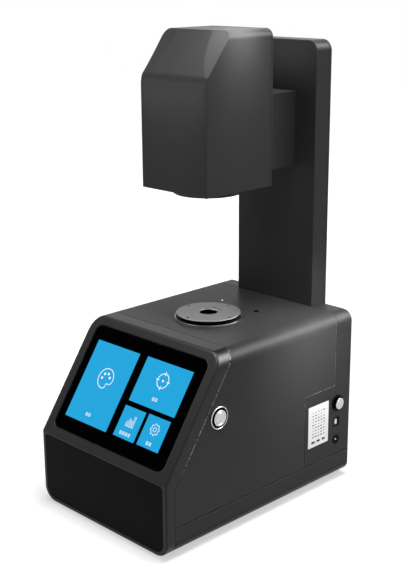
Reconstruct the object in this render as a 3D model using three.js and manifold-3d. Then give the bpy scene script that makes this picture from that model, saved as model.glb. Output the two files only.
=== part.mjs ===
// A vertical bench haze meter: base casing with a slanted screen, sample port, column, arm and head.
// Millimetres, +Z up. The screen faces -Y and the buttons and sockets are on +X.
import * as THREE from 'three';
import { mergeVertices } from 'three/addons/utils/BufferGeometryUtils.js';
import Module from 'manifold-3d';

const wasm = await Module();
wasm.setup();

// Clearances and values shared by many pieces
const fitGap = 0.3; // round or turned pieces in their holes
const seatGap = 0.05; // flat faces that rest on each other
const overrun = 4; // how far a cutter runs past the face that it cuts
const weldDistance = 0.0001;
const casingWall = 3;
const cornerSteps = 6;
const fineSteps = 48;
const roundSteps = 24;
const innerSteps = 16;

// Base casing
const baseWidth = 214;
const baseDepth = 310;
const baseHeight = 212;
const footStandoff = 3;
const bottomCorner = 18;
const topCorner = 18;
const rearCorner = 4;
const rearTopCorner = 4;
const panHeight = 33;
const rearSeamStep = 123; // height above the base's underside where the rear casing steps forward
const rearSeamUpper = 31; // the two seams' distances from the rear
const rearSeamLower = 86;

// Front frame, lower panel and screen
const frameFrontDepth = 12;
const frameSlopeDepth = 16;
const frameRim = 6;
const kneeHeight = 87;
const slopeDegrees = 55.5;
const panelSideRim = 6;
const panelFootRim = 5;
const panelKneeRim = 3;
const panelThickness = 2;
const panelInset = 0.3;
const panelTopCorner = 4;
const glassSideRim = 13;
const glassKneeRim = 10; // along the slope
const glassTopRim = 10.7;
const glassCorner = 10;
const glassThickness = 2.5;
const glassInset = 0.8;
const glassLedge = 6;
const displayRim = 10;
const displayThickness = 7;
const displayBoardWidth = 120;
const displayBoardShare = 0.73; // of the display's height, at its middle
const boardThickness = 1.6;
const plugWidth = 24;
const plugDepth = 8;
const plugHeight = 5;

// Sample port on the top
const portShare = 0.36075; // of the way from the frame's top to the column
const plateRadius = 38.4;
const plateThickness = 5;
const plateEdgeBevel = 0.6;
const apertureRadius = 10.5;
const apertureBevel = 0.8;
const flangeLip = 2.1; // beyond the plate
const flangeLipThickness = 0.9;
const flangeNeckInset = 0.7;
const flangeBoreRim = 2.5;
const flangeDepth = 5; // below the casing's top
const portScrewInset = 4.4;
const portScrewCount = 4;
const screwHeadRadius = 2.5;
const screwHeadHeight = 1.5;
const screwHeadSink = 0.2;
const screwShankRadius = 1.3;
const screwShankLength = 7;
const bushSide = 26.5; // from the port's axis
const bushBehind = 54.4;
const bushRadius = 3.75;
const bushBore = 2.2;
const bushLength = 6;

// Integrating sphere under the port, its stand and its sensor
const sphereInner = 65;
const sphereWall = 3;
const sphereFlangeRim = 8;
const sphereFlangeThickness = 3;
const sphereEntryRim = 1.5; // beyond the aperture
const sphereCollarRadius = 28;
const sphereCollarRise = 2;
const sphereExitRadius = 12;
const sphereExitCollarRadius = 18;
const standThickness = 3;
const standLegThickness = 7;
const standLegWidth = 24;
const sensorDrop = 25; // below the sphere's equator
const sensorBossRadius = 10;
const sensorBossRise = 4; // past the flange
const sensorHole = 4;
const sensorHousingRadius = 14;
const sensorHousingLength = 20;
const sensorHousingWall = 3;

// Light trap and the shutter that covers the sphere's exit
const trapRadius = 20;
const trapWall = 2;
const shutterThickness = 1.5;
const shutterGap = 1.5;
const shutterRadius = 15;
const shutterPivot = 44; // from the port's axis, towards -X
const shutterArmWidth = 8;
const shutterHubRadius = 4;
const shutterHubRise = 2;
const motorRadius = 9;
const motorLength = 18;
const motorShaftRadius = 1.5;
const motorPlateThickness = 3;
const motorPlateRim = 4; // round the trap

// Side buttons: each has a housing with a thread, a cap, a nut and a switch
const testButtonDrop = 70.1; // below the base's top
const testButtonSetback = 21.6; // behind the frame's rear edge
const testBezelRadius = 13;
const testBezelThickness = 2;
const testBezelBevel = 0.8;
const testThreadRadius = 10.7;
const testBodyLength = 26;
const testCapRadius = 9.2;
const testCapStandout = 3;
const testCapThickness = 6;
const testTravel = 2;
const powerButtonShare = 0.744; // of the way from the pan to the seam's step
const powerButtonInset = 26.4; // from the rear
const powerBezelRadius = 10.3;
const powerBezelThickness = 1;
const powerBezelBevel = 0.4;
const powerThreadRadius = 9;
const powerBodyLength = 22;
const powerCapRadius = 7.5;
const powerCapStandout = 4.5;
const powerCapThickness = 8;
const powerTravel = 2.5;
const capEdgeBevel = 0.7;
const capStemRadius = 3;
const capStemReach = 14;
const nutThickness = 3;
const nutOverhang = 3.5;
const hexagonSides = 6;
const switchWidth = 14;
const switchHeight = 18;
const switchLength = 12;
const terminalWidth = 4;
const terminalThickness = 0.8;
const terminalLength = 6;
const terminalSpacing = 8;

// Sockets, their board and the rating plate; shares run from the pan to the seam's step
const usbShare = 0.474;
const usbInset = 27.4; // from the rear
const usbWidth = 10.8;
const usbTall = 11.6;
const usbWall = 1.5;
const usbOpeningDepth = 11;
const usbTongueWidth = 3.2;
const usbTongueTall = 5.6;
const usbTongueInset = 1.5;
const jackShare = 0.217;
const jackInset = 27.3;
const jackFlangeLip = 0.8;
const jackFlangeThickness = 0.8;
const jackBodyRadius = 5.2;
const jackBore = 3.2;
const jackBoreDepth = 9;
const jackPinRadius = 1;
const jackPinInset = 1;
const socketLength = 16;
const socketBoardDepth = 38;
const socketBoardInset = 9; // from the rear
const socketBoardRise = 10.3; // above the data socket's centre
const socketBoardRail = 3;
const labelDepth = 37;
const labelInset = 43; // from the rear
const labelLowShare = 0.25;
const labelHighShare = 0.833;
const labelThickness = 0.35;

// Main board on its posts
const mainBoardWidth = 150;
const mainBoardDepth = 62;
const mainBoardInset = 21; // from the front
const boardPostRadius = 4;
const boardPostHeight = 8;
const boardPostInset = 8;
const leadPlugX = 44;
const chipSize = 22;
const chipHeight = 3;

// Feet
const footSideInset = 39;
const footFrontInset = 43;
const footRearInset = 33;
const footRadius = 9;
const footStudRadius = 3;
const footStudRise = 1.5;

// Column and its steel post
const columnDepth = 24;
const columnWidth = 122.7;
const columnTopDrop = 15.8; // below the head's top
const columnCorner = 13;
const columnCoverWall = 2.5;
const columnCoverFoot = 150;
const rearPlateThickness = 3;
const rearPlateFoot = 40;
const notchFoot = 60;
const postSideGap = 8.85;
const postWall = 2.5;
const postTopGap = 6;
const bracketWidth = 60;
const bracketReach = 30;
const bracketRise = 40;
const bracketThickness = 4;

// Arm
const armWidth = 61.7;
const armHeight = 88.6;
const armRise = 12.8; // above the head's underside
const armWall = 3;
const armEndWall = 4;
const armPlateThickness = 1.2;
const armPlateOverhang = 0.4;
const cableHoleRadius = 8;

// Head casing
const headWidth = 103.6;
const headHeight = 175.8;
const headLow = 368; // above the base's underside
const headFrontReach = 53.5; // from the port's axis
const headRearReach = 51.5;
const headSlopeDrop = 51.2; // below the head's top
const headSlopeRun = 36;
const headTopCorner = 10;
const headSlopeWall = 7;
const headPlateThickness = 3;
const headBevelWidth = 24;
const headBevelDegrees = 8;
const headBevelSteps = 8;
const headBevelPower = 2.4;

// Light source in the head
const ringRadius = 40;
const ringDrop = 6.5;
const ringEdgeBevel = 1;
const ringMouthFlare = 5;
const ringMouthDepth = 3;
const ringNeckRim = 1; // beyond the barrel
const barrelRadius = 25;
const barrelWall = 3;
const barrelLength = 80;
const barrelShoulder = 3;
const lensEdge = 3;
const lensBulge = 3;
const lensRim = 3.5;
const lensSteps = 4;
const retainerWall = 3;
const retainerHeight = 4;
const stopHeight = 54; // above the barrel's foot
const stopThickness = 2;
const stopHole = 1.5;
const condenserHeight = 64;
const lampBoardWidth = 60;
const lampChipRadius = 4;
const lampChipHeight = 2;
const sinkBase = 5;
const sinkFinHeight = 14;
const sinkFinThickness = 2;
const sinkFinCount = 7;
const opticsShelfHeight = 40; // above the head's underside
const opticsShelfThickness = 4;
const opticsShelfWidth = 70;
const opticsShelfDrop = 26;

// Lead from the head to the main board, held inside all the way
const cableRadius = 3;
const cableSides = 8;
const cableSteps = 64;

// Places worked out from the sizes above
const halfWidth = baseWidth / 2;
const frontY = -baseDepth / 2;
const rearY = baseDepth / 2;
const baseBottom = footStandoff;
const baseTop = baseBottom + baseHeight;
const panTop = baseBottom + panHeight;
const panFloor = baseBottom + casingWall;
const slope = THREE.MathUtils.degToRad(slopeDegrees);
const kneeZ = baseBottom + kneeHeight;
const frameBackY = frontY + frameFrontDepth;
const frameSlopeSpan = frameSlopeDepth / Math.sin(slope);
const slopeLength = (baseTop - kneeZ) / Math.sin(slope);
const glassHalf = halfWidth - glassSideRim;
const glassHigh = slopeLength - glassTopRim;
const seamUpperY = rearY - rearSeamUpper;
const seamLowerY = rearY - rearSeamLower;
const stepZ = baseBottom + rearSeamStep;
const columnHalf = columnWidth / 2;
const columnFront = rearY - columnDepth;
const columnRear = rearY + rearPlateThickness;
const postHalf = columnHalf - columnCoverWall - postSideGap;
const postFront = columnFront + columnCoverWall + 2 * fitGap;
const postRear = rearY - casingWall - fitGap;
const headHalf = headWidth / 2;
const headBottom = baseBottom + headLow;
const headTop = headBottom + headHeight;
const headSlopeZ = headTop - headSlopeDrop;
const columnHigh = headTop - columnTopDrop;
const armLow = headBottom + armRise;
const armHigh = armLow + armHeight;
const armMid = (armLow + armHigh) / 2;

// Outer Y of the slanted screen face, and of the frame's rear face, at a height
const slopeY = (z) => frontY + (z - kneeZ) / Math.tan(slope);
const frameRearY = (z) => slopeY(z) + frameSlopeSpan;
const frameKneeZ = kneeZ + (frameFrontDepth - frameSlopeSpan) * Math.tan(slope);

// The port's axis, and what stands on it or beside it
const frameTopY = frameRearY(baseTop);
const portY = frameTopY + portShare * (columnFront - frameTopY);
const bushY = portY + bushBehind;
const flangeLipRadius = plateRadius + flangeLip;
const flangeNeckRadius = plateRadius - flangeNeckInset;
const flangeBore = apertureRadius + flangeBoreRim;
const portScrewCircle = plateRadius - portScrewInset;
const sphereOuter = sphereInner + sphereWall;
const sphereFlangeRadius = sphereOuter + sphereFlangeRim;
const sphereZ = baseTop - flangeDepth - seatGap - sphereCollarRise - sphereOuter;
const exitZ = sphereZ - sphereOuter - sphereCollarRise;
const shutterZ = exitZ - shutterGap - shutterThickness;
const trapTop = shutterZ - shutterGap;
const headFront = portY - headFrontReach;
const headRear = portY + headRearReach;
const headPlateY = headRear - headPlateThickness;
const armPlateY = headRear + seatGap;
const armFront = armPlateY + armPlateThickness + seatGap;
const barrelBore = barrelRadius - barrelWall;
const ringBore = barrelBore - barrelShoulder;

// Buttons, sockets and boards
const sharedZ = (share) => THREE.MathUtils.lerp(panTop, stepZ, share);
const testButtonZ = baseTop - testButtonDrop;
const testButtonY = frameRearY(testButtonZ) + testButtonSetback;
const powerButtonZ = sharedZ(powerButtonShare);
const powerButtonY = rearY - powerButtonInset;
const usbZ = sharedZ(usbShare);
const usbY = rearY - usbInset;
const jackZ = sharedZ(jackShare);
const jackY = rearY - jackInset;
const socketBoardX = halfWidth - socketLength - seatGap - boardThickness;
const socketBoardRear = rearY - socketBoardInset;
const socketBoardFront = socketBoardRear - socketBoardDepth;
const mainBoardFront = frontY + mainBoardInset;
const mainBoardRear = mainBoardFront + mainBoardDepth;
const mainBoardZ = panFloor + boardPostHeight + seatGap;

// Colours and finishes
const finish = (color, roughness, metalness) =>
  new THREE.MeshStandardMaterial({ color, roughness, metalness });
const casingPaint = finish(0x3d3d40, 0.45, 0.1);
const topPaint = finish(0x4b4b4e, 0.45, 0.1);
const framePlastic = finish(0x262628, 0.35, 0);
const glossPanel = finish(0x1b1b1c, 0.15, 0);
const blackGlass = finish(0x050506, 0.05, 0);
const platePale = finish(0x8a8a8c, 0.35, 0.7);
const steel = finish(0xb8babd, 0.3, 1);
const brass = finish(0xb08d4a, 0.35, 1);
const rubber = finish(0x151515, 0.9, 0);
const blackPlastic = finish(0x111112, 0.5, 0);
const whiteCoat = finish(0xf2f2ee, 0.9, 0);
const labelPaper = finish(0xf4f4f4, 0.5, 0);
const boardGreen = finish(0x1f5a35, 0.5, 0);
const lensGlass = finish(0xdfe8ee, 0.05, 0);
const sheetSteel = finish(0x9a9c9f, 0.4, 1);

// Removes the triangles that lost an edge when vertices were merged
function liveTriangles(index) {
  const kept = [];
  for (let at = 0; at < index.length; at += 3) {
    const [a, b, c] = index.slice(at, at + 3);
    if (a !== b && b !== c && c !== a) kept.push(a, b, c);
  }
  return new Uint32Array(kept);
}

function toSolid(geometry) {
  geometry.deleteAttribute('normal');
  geometry.deleteAttribute('uv');
  const merged = mergeVertices(geometry, weldDistance);
  const vertProperties = merged.attributes.position.array;
  const triVerts = liveTriangles(Array.from(merged.index.array));
  return new wasm.Manifold(new wasm.Mesh({ numProp: 3, vertProperties, triVerts }));
}

function toGeometry(solid) {
  const mesh = solid.getMesh();
  const geometry = new THREE.BufferGeometry();
  geometry.setAttribute('position', new THREE.BufferAttribute(mesh.vertProperties, mesh.numProp));
  geometry.setIndex(new THREE.BufferAttribute(mesh.triVerts, 1));
  geometry.computeVertexNormals();
  return geometry;
}

function addPiece(parent, name, solid, material) {
  const mesh = new THREE.Mesh(toGeometry(solid), material);
  mesh.name = name;
  parent.add(mesh);
}

function addGroup(parent, x, y, z) {
  const group = new THREE.Group();
  group.position.set(x, y, z);
  parent.add(group);
  return group;
}

// Frames that turn a drawn outline so that it is extruded along X, Y or Z.
// Along X an outline is drawn in (Y, Z), along Y in (X, Z), along Z in (X, Y).
const unitX = new THREE.Vector3(1, 0, 0);
const unitY = new THREE.Vector3(0, 1, 0);
const unitZ = new THREE.Vector3(0, 0, 1);
const frames = {
  x: new THREE.Matrix4().makeBasis(unitY, unitZ, unitX),
  y: new THREE.Matrix4().makeBasis(unitX, unitZ, unitY.clone().negate()),
  z: new THREE.Matrix4(),
};

function extrudedIn(frame, shape, from, to) {
  const options = { depth: to - from, bevelEnabled: false, curveSegments: cornerSteps };
  const geometry = new THREE.ExtrudeGeometry(shape, options);
  geometry.translate(0, 0, from);
  geometry.applyMatrix4(frame);
  return toSolid(geometry);
}

function extruded(shape, axis, from, to) {
  const flipped = axis === 'y';
  const low = flipped ? -to : from;
  const high = flipped ? -from : to;
  return extrudedIn(frames[axis], shape, low, high);
}

function polygon(points) {
  const shape = new THREE.Shape();
  shape.setFromPoints(points.map(([x, y]) => new THREE.Vector2(x, y)));
  return shape;
}

function roundedOutline(x0, x1, y0, y1, lowRadius, highRadius) {
  const shape = new THREE.Shape();
  const quarter = Math.PI / 2;
  const corner = (x, y, radius, start) => {
    if (radius > 0) shape.absarc(x, y, radius, start, start + quarter, false);
    else shape.lineTo(x, y);
  };
  shape.moveTo(x0 + lowRadius, y0);
  corner(x1 - lowRadius, y0 + lowRadius, lowRadius, -quarter);
  corner(x1 - highRadius, y1 - highRadius, highRadius, 0);
  corner(x0 + highRadius, y1 - highRadius, highRadius, quarter);
  corner(x0 + lowRadius, y0 + lowRadius, lowRadius, 2 * quarter);
  return shape;
}

function block(x0, x1, y0, y1, z0, z1) {
  const geometry = new THREE.BoxGeometry(x1 - x0, y1 - y0, z1 - z0);
  geometry.translate((x0 + x1) / 2, (y0 + y1) / 2, (z0 + z1) / 2);
  return toSolid(geometry);
}

// A round bar along an axis; its centre line is given by the two other places in X, Y, Z order
function bar(axis, radius, from, to, first, second, steps = roundSteps) {
  const geometry = new THREE.CylinderGeometry(radius, radius, to - from, steps);
  const middle = (from + to) / 2;
  if (axis === 'x') {
    geometry.rotateZ(Math.PI / 2);
    geometry.translate(middle, first, second);
  } else if (axis === 'y') {
    geometry.translate(first, middle, second);
  } else {
    geometry.rotateX(Math.PI / 2);
    geometry.translate(first, second, middle);
  }
  return toSolid(geometry);
}

// A turned piece about Z; its profile is a closed loop of [radius, z], anticlockwise
function spun(profile, steps = roundSteps) {
  const loop = [...profile, profile[0]].map(([radius, z]) => new THREE.Vector2(radius, z));
  const geometry = new THREE.LatheGeometry(loop, steps);
  geometry.rotateX(Math.PI / 2);
  return toSolid(geometry);
}

function arcPoints(radius, startAngle, endAngle, steps) {
  const points = [];
  for (let step = 0; step <= steps; step += 1) {
    const angle = THREE.MathUtils.lerp(startAngle, endAngle, step / steps);
    points.push([radius * Math.cos(angle), radius * Math.sin(angle)]);
  }
  return points;
}

const joined = (solids) => solids.reduce((whole, solid) => whole.add(solid));
const cutBy = (solid, cutters) => cutters.reduce((whole, cutter) => whole.subtract(cutter), solid);

// Cross-section of the base seen from the front, drawn in by an inset
function baseSection(inset) {
  return roundedOutline(
    -halfWidth + inset,
    halfWidth - inset,
    baseBottom + inset,
    baseTop - inset,
    bottomCorner - inset,
    topCorner - inset,
  );
}

// Block with the plan outline of the base: its rear corners are round
function basePlan(inset) {
  const outline = roundedOutline(
    -halfWidth + inset,
    halfWidth - inset,
    frontY,
    rearY - inset,
    0,
    rearCorner - inset,
  );
  return extruded(outline, 'z', baseBottom - overrun, baseTop + overrun);
}

// Block with the side outline of the base: its upper rear edge is round
function baseSide(inset) {
  const far = frontY - baseDepth;
  const outline = roundedOutline(far, rearY - inset, baseBottom, baseTop - inset, 0, rearTopCorner - inset);
  return extruded(outline, 'x', -halfWidth - overrun, halfWidth + overrun);
}

function wideBlock(y0, y1, z0, z1) {
  return block(-halfWidth - overrun, halfWidth + overrun, y0, y1, z0, z1);
}

const footX = halfWidth - footSideInset;
const footPlaces = [
  ['foot_front_left', -footX, frontY + footFrontInset],
  ['foot_front_right', footX, frontY + footFrontInset],
  ['foot_rear_left', -footX, rearY - footRearInset],
  ['foot_rear_right', footX, rearY - footRearInset],
];

function basePan() {
  const start = frameBackY + fitGap;
  const outer = extruded(baseSection(0), 'y', start, rearY)
    .intersect(basePlan(0))
    .intersect(wideBlock(frontY, rearY, baseBottom - overrun, panTop));
  const cavity = extruded(baseSection(casingWall), 'y', start + casingWall, rearY - casingWall)
    .intersect(basePlan(casingWall));
  const posts = [];
  const postX = mainBoardWidth / 2 - boardPostInset;
  for (const x of [-postX, postX]) {
    for (const y of [mainBoardFront + boardPostInset, mainBoardRear - boardPostInset]) {
      const low = panFloor - casingWall / 2;
      posts.push(bar('z', boardPostRadius, low, panFloor + boardPostHeight, x, y, innerSteps));
    }
  }
  const railX = socketBoardX + boardThickness / 2;
  posts.push(block(
    railX - socketBoardRail,
    railX + socketBoardRail,
    socketBoardFront,
    socketBoardRear,
    panFloor - casingWall / 2,
    panFloor + boardPostHeight,
  ));
  const studHoles = footPlaces.map(([, x, y]) =>
    bar('z', footStudRadius + fitGap, baseBottom - overrun, panFloor + overrun, x, y, innerSteps));
  return cutBy(joined([outer.subtract(cavity), ...posts]), studHoles);
}

function mainShell() {
  const ring = extruded(baseSection(0), 'y', frontY, rearY)
    .subtract(extruded(baseSection(casingWall), 'y', frontY - overrun, rearY + overrun));
  const high = baseTop + overrun;
  const topRear = columnFront - fitGap;
  const outline = polygon([
    [frameBackY + fitGap, panTop + fitGap],
    [seamLowerY, panTop + fitGap],
    [seamLowerY, stepZ],
    [seamUpperY, stepZ],
    [seamUpperY, baseTop - topCorner],
    [topRear, baseTop],
    [topRear, high],
    [frameRearY(high) + fitGap, high],
    [frameBackY + fitGap, frameKneeZ],
  ]);
  const shell = ring.intersect(extruded(outline, 'x', -halfWidth, halfWidth));
  return cutBy(shell, [
    bar('z', flangeNeckRadius + fitGap, baseTop - topCorner, high, 0, portY, fineSteps),
    bar('z', bushRadius + fitGap, baseTop - topCorner, high, bushSide, bushY, innerSteps),
    bar(
      'x',
      testThreadRadius + fitGap,
      halfWidth - topCorner,
      halfWidth + overrun,
      testButtonY,
      testButtonZ,
    ),
  ]);
}

function rearShell() {
  const outer = extruded(baseSection(0), 'y', seamLowerY, rearY)
    .intersect(basePlan(0))
    .intersect(baseSide(0));
  const cavity = extruded(baseSection(casingWall), 'y', seamLowerY - overrun, rearY - casingWall)
    .intersect(basePlan(casingWall))
    .intersect(baseSide(casingWall));
  const high = baseTop + overrun;
  const back = rearY + overrun;
  const outline = polygon([
    [seamLowerY + fitGap, panTop + fitGap],
    [back, panTop + fitGap],
    [back, high],
    [columnFront, high],
    [columnFront, baseTop],
    [seamUpperY + fitGap, baseTop - topCorner],
    [seamUpperY + fitGap, stepZ - fitGap],
    [seamLowerY + fitGap, stepZ - fitGap],
  ]);
  const notchHalf = columnHalf + fitGap;
  const notch = block(-notchHalf, notchHalf, seamUpperY, back, baseBottom + notchFoot, high);
  const inner = halfWidth - topCorner;
  const outside = halfWidth + overrun;
  const usbHalfY = usbWidth / 2 + fitGap;
  const usbHalfZ = usbTall / 2 + fitGap;
  return cutBy(outer.subtract(cavity).intersect(extruded(outline, 'x', -halfWidth, halfWidth)), [
    notch,
    bar('x', powerThreadRadius + fitGap, inner, outside, powerButtonY, powerButtonZ),
    bar('x', jackBodyRadius + fitGap, inner, outside, jackY, jackZ, innerSteps),
    block(inner, outside, usbY - usbHalfY, usbY + usbHalfY, usbZ - usbHalfZ, usbZ + usbHalfZ),
  ]);
}

// The screen's own frame: x across, y up the slope from the knee, z out of the glass
const screenFrame = new THREE.Matrix4()
  .makeTranslation(0, frontY, kneeZ)
  .multiply(new THREE.Matrix4().makeRotationX(slope));

function glassOutline(margin) {
  const half = glassHalf + margin;
  const corner = glassCorner + margin;
  return roundedOutline(-half, half, glassKneeRim - margin, glassHigh + margin, corner, corner);
}

function frontFrame() {
  const low = baseBottom - overrun;
  const high = baseTop + overrun;
  const profile = polygon([
    [frontY, low],
    [frameBackY, low],
    [frameBackY, frameKneeZ],
    [frameRearY(high), high],
    [slopeY(high), high],
    [frontY, kneeZ],
  ]);
  const outer = extruded(profile, 'x', -halfWidth, halfWidth)
    .intersect(extruded(baseSection(0), 'y', frontY, rearY));
  const pocketDepth = panelInset + panelThickness + fitGap;
  const pocket = extruded(panelOutline(fitGap), 'y', frontY - overrun, frontY + pocketDepth);
  const hollow = extruded(baseSection(frameRim), 'y', frontY + pocketDepth + casingWall, frameBackY + overrun)
    .intersect(wideBlock(frontY, rearY, baseBottom, frameKneeZ - frameRim));
  const seat = extrudedIn(screenFrame, glassOutline(fitGap), -glassInset - glassThickness - seatGap, overrun);
  const window = extrudedIn(screenFrame, glassOutline(-glassLedge), -frameSlopeDepth - overrun, overrun);
  return cutBy(outer, [pocket, hollow, seat, window]);
}

function panelOutline(margin) {
  const half = halfWidth - panelSideRim + margin;
  const low = baseBottom + panelFootRim - margin;
  const high = kneeZ - panelKneeRim + margin;
  return roundedOutline(-half, half, low, high, bottomCorner - panelFootRim, panelTopCorner);
}

function lowerFrontPanel() {
  const face = frontY + panelInset;
  return extruded(panelOutline(0), 'y', face, face + panelThickness);
}

function buildScreen(parent) {
  const screen = addGroup(parent, 0, frontY, kneeZ);
  screen.rotation.x = slope;
  const glassBack = -glassInset - glassThickness;
  addPiece(screen, 'screen_glass', extruded(glassOutline(0), 'z', glassBack, -glassInset), blackGlass);
  const displayHalf = glassHalf - displayRim;
  const displayLow = glassKneeRim + displayRim;
  const displayHigh = glassHigh - displayRim;
  const displayFace = glassBack - seatGap;
  const displayBack = displayFace - displayThickness;
  addPiece(screen, 'display_module',
    block(-displayHalf, displayHalf, displayLow, displayHigh, displayBack, displayFace), sheetSteel);
  const displayMiddle = (displayLow + displayHigh) / 2;
  const displayBoardHeight = displayBoardShare * (displayHigh - displayLow);
  const displayBoardLow = displayMiddle - displayBoardHeight / 2;
  const displayBoardHigh = displayMiddle + displayBoardHeight / 2;
  const boardHalf = displayBoardWidth / 2;
  const boardFace = displayBack - seatGap;
  const boardBack = boardFace - boardThickness;
  const board = joined([
    block(-boardHalf, boardHalf, displayBoardLow, displayBoardHigh, boardBack, boardFace),
    block(
      -plugWidth / 2,
      plugWidth / 2,
      displayBoardLow,
      displayBoardLow + plugDepth,
      boardBack - plugHeight,
      boardBack + boardThickness / 2,
    ),
    block(
      -chipSize / 2,
      chipSize / 2,
      displayBoardHigh - chipSize - plugDepth,
      displayBoardHigh - plugDepth,
      boardBack - chipHeight,
      boardBack + boardThickness / 2,
    ),
  ]);
  addPiece(screen, 'display_board', board, boardGreen);
}

function portScrewPlaces() {
  const places = [];
  for (let count = 0; count < portScrewCount; count += 1) {
    const angle = (2 * Math.PI * count) / portScrewCount;
    places.push([portScrewCircle * Math.cos(angle), portScrewCircle * Math.sin(angle)]);
  }
  return places;
}

function portPlate() {
  const plate = spun([
    [apertureRadius, 0],
    [plateRadius, 0],
    [plateRadius, plateThickness - plateEdgeBevel],
    [plateRadius - plateEdgeBevel, plateThickness],
    [apertureRadius + apertureBevel, plateThickness],
    [apertureRadius, plateThickness - apertureBevel],
  ], fineSteps);
  const high = plateThickness + overrun;
  const headSeat = plateThickness - screwHeadHeight - screwHeadSink - seatGap;
  const cutters = portScrewPlaces().flatMap(([x, y]) => [
    bar('z', screwShankRadius + fitGap, -overrun, high, x, y, innerSteps / 2),
    bar('z', screwHeadRadius + fitGap, headSeat, high, x, y, innerSteps),
  ]);
  return cutBy(plate, cutters);
}

function portFlange() {
  const ring = spun([
    [flangeBore, -flangeDepth],
    [flangeNeckRadius, -flangeDepth],
    [flangeNeckRadius, seatGap],
    [flangeLipRadius, seatGap],
    [flangeLipRadius, seatGap + flangeLipThickness],
    [flangeBore, seatGap + flangeLipThickness],
  ], fineSteps);
  const cutters = portScrewPlaces().map(([x, y]) =>
    bar('z', screwShankRadius + fitGap, -flangeDepth - overrun, overrun, x, y, innerSteps / 2));
  return cutBy(ring, cutters);
}

function portScrew() {
  return spun([
    [0, -screwShankLength],
    [screwShankRadius, -screwShankLength],
    [screwShankRadius, 0],
    [screwHeadRadius, 0],
    [screwHeadRadius, screwHeadHeight],
    [0, screwHeadHeight],
  ], innerSteps / 2);
}

function buildPort(parent) {
  const port = addGroup(parent, 0, portY, baseTop);
  addPiece(port, 'port_flange', portFlange(), steel);
  const plateZ = seatGap + flangeLipThickness + seatGap;
  addPiece(addGroup(port, 0, 0, plateZ), 'port_plate', portPlate(), platePale);
  const screwZ = plateZ + plateThickness - screwHeadSink - screwHeadHeight;
  portScrewPlaces().forEach(([x, y], index) => {
    addPiece(addGroup(port, x, y, screwZ), `port_screw_${index + 1}`, portScrew(), steel);
  });
  const bush = spun([
    [bushBore, -bushLength],
    [bushRadius, -bushLength],
    [bushRadius, 0],
    [bushBore, 0],
  ], innerSteps);
  addPiece(addGroup(parent, bushSide, bushY, baseTop), 'fixture_bush', bush, brass);
}

// Half of the integrating sphere, rim at z 0, with a collar round its opening
function sphereHalf(openingRadius, collarRadius) {
  const flangeAngle = Math.asin(sphereFlangeThickness / sphereOuter);
  const collarAngle = Math.acos(collarRadius / sphereOuter);
  const openingAngle = Math.acos(openingRadius / sphereInner);
  const collarTop = sphereOuter + sphereCollarRise;
  return [
    [sphereFlangeRadius, 0],
    [sphereFlangeRadius, sphereFlangeThickness],
    ...arcPoints(sphereOuter, flangeAngle, collarAngle, cornerSteps),
    [collarRadius, collarTop],
    [openingRadius, collarTop],
    ...arcPoints(sphereInner, openingAngle, 0, cornerSteps + 2),
  ];
}

const sensorBossEnd = sphereFlangeRadius + sensorBossRise;

function sphereLowerHalf() {
  const mirrored = sphereHalf(sphereExitRadius, sphereExitCollarRadius).map(([r, z]) => [r, -z - seatGap]);
  const half = spun(mirrored.reverse(), innerSteps);
  const start = sphereInner - sensorBossRadius;
  const core = arcPoints(sphereInner + sphereWall / 2, -Math.PI / 2, Math.PI / 2, 2 * cornerSteps);
  const boss = bar('y', sensorBossRadius, -sensorBossEnd, -start, 0, -sensorDrop, innerSteps)
    .subtract(spun(core));
  const hole = bar('y', sensorHole, -sensorBossEnd - overrun, 0, 0, -sensorDrop, innerSteps / 2);
  return half.add(boss).subtract(hole);
}

function sphereStand() {
  const top = -seatGap - sphereFlangeThickness - seatGap;
  const ringInner = sphereOuter + fitGap;
  const ring = spun([
    [ringInner, top - standThickness],
    [sphereFlangeRadius, top - standThickness],
    [sphereFlangeRadius, top],
    [ringInner, top],
  ], innerSteps);
  const legFoot = panFloor + seatGap - sphereZ;
  const legTop = top - standThickness / 2;
  const legInner = sphereFlangeRadius - standLegThickness;
  const halfLeg = standLegWidth / 2;
  return joined([
    ring,
    block(legInner, sphereFlangeRadius, -halfLeg, halfLeg, legFoot, legTop),
    block(-sphereFlangeRadius, -legInner, -halfLeg, halfLeg, legFoot, legTop),
  ]);
}

function buildSphere(parent) {
  const sphere = addGroup(parent, 0, portY, sphereZ);
  const upper = spun(sphereHalf(apertureRadius + sphereEntryRim, sphereCollarRadius), innerSteps);
  addPiece(sphere, 'sphere_upper_half', upper, whiteCoat);
  addPiece(sphere, 'sphere_lower_half', sphereLowerHalf(), whiteCoat);
  addPiece(sphere, 'sphere_stand', sphereStand(), sheetSteel);
  const sensor = addGroup(sphere, 0, -sensorBossEnd - seatGap, -sensorDrop);
  sensor.rotation.x = Math.PI / 2;
  const cupBore = sensorHousingRadius - sensorHousingWall;
  const housing = spun([
    [sensorHole, 0],
    [sensorHousingRadius, 0],
    [sensorHousingRadius, sensorHousingLength],
    [cupBore, sensorHousingLength],
    [cupBore, sensorHousingWall],
    [sensorHole, sensorHousingWall],
  ], innerSteps);
  addPiece(sensor, 'detector_housing', housing, blackPlastic);
  const boardLow = sensorHousingLength + seatGap;
  const board = spun([
    [0, boardLow],
    [sensorHousingRadius, boardLow],
    [sensorHousingRadius, boardLow + boardThickness],
    [0, boardLow + boardThickness],
  ], innerSteps);
  addPiece(sensor, 'detector_board', board, boardGreen);
}

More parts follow.
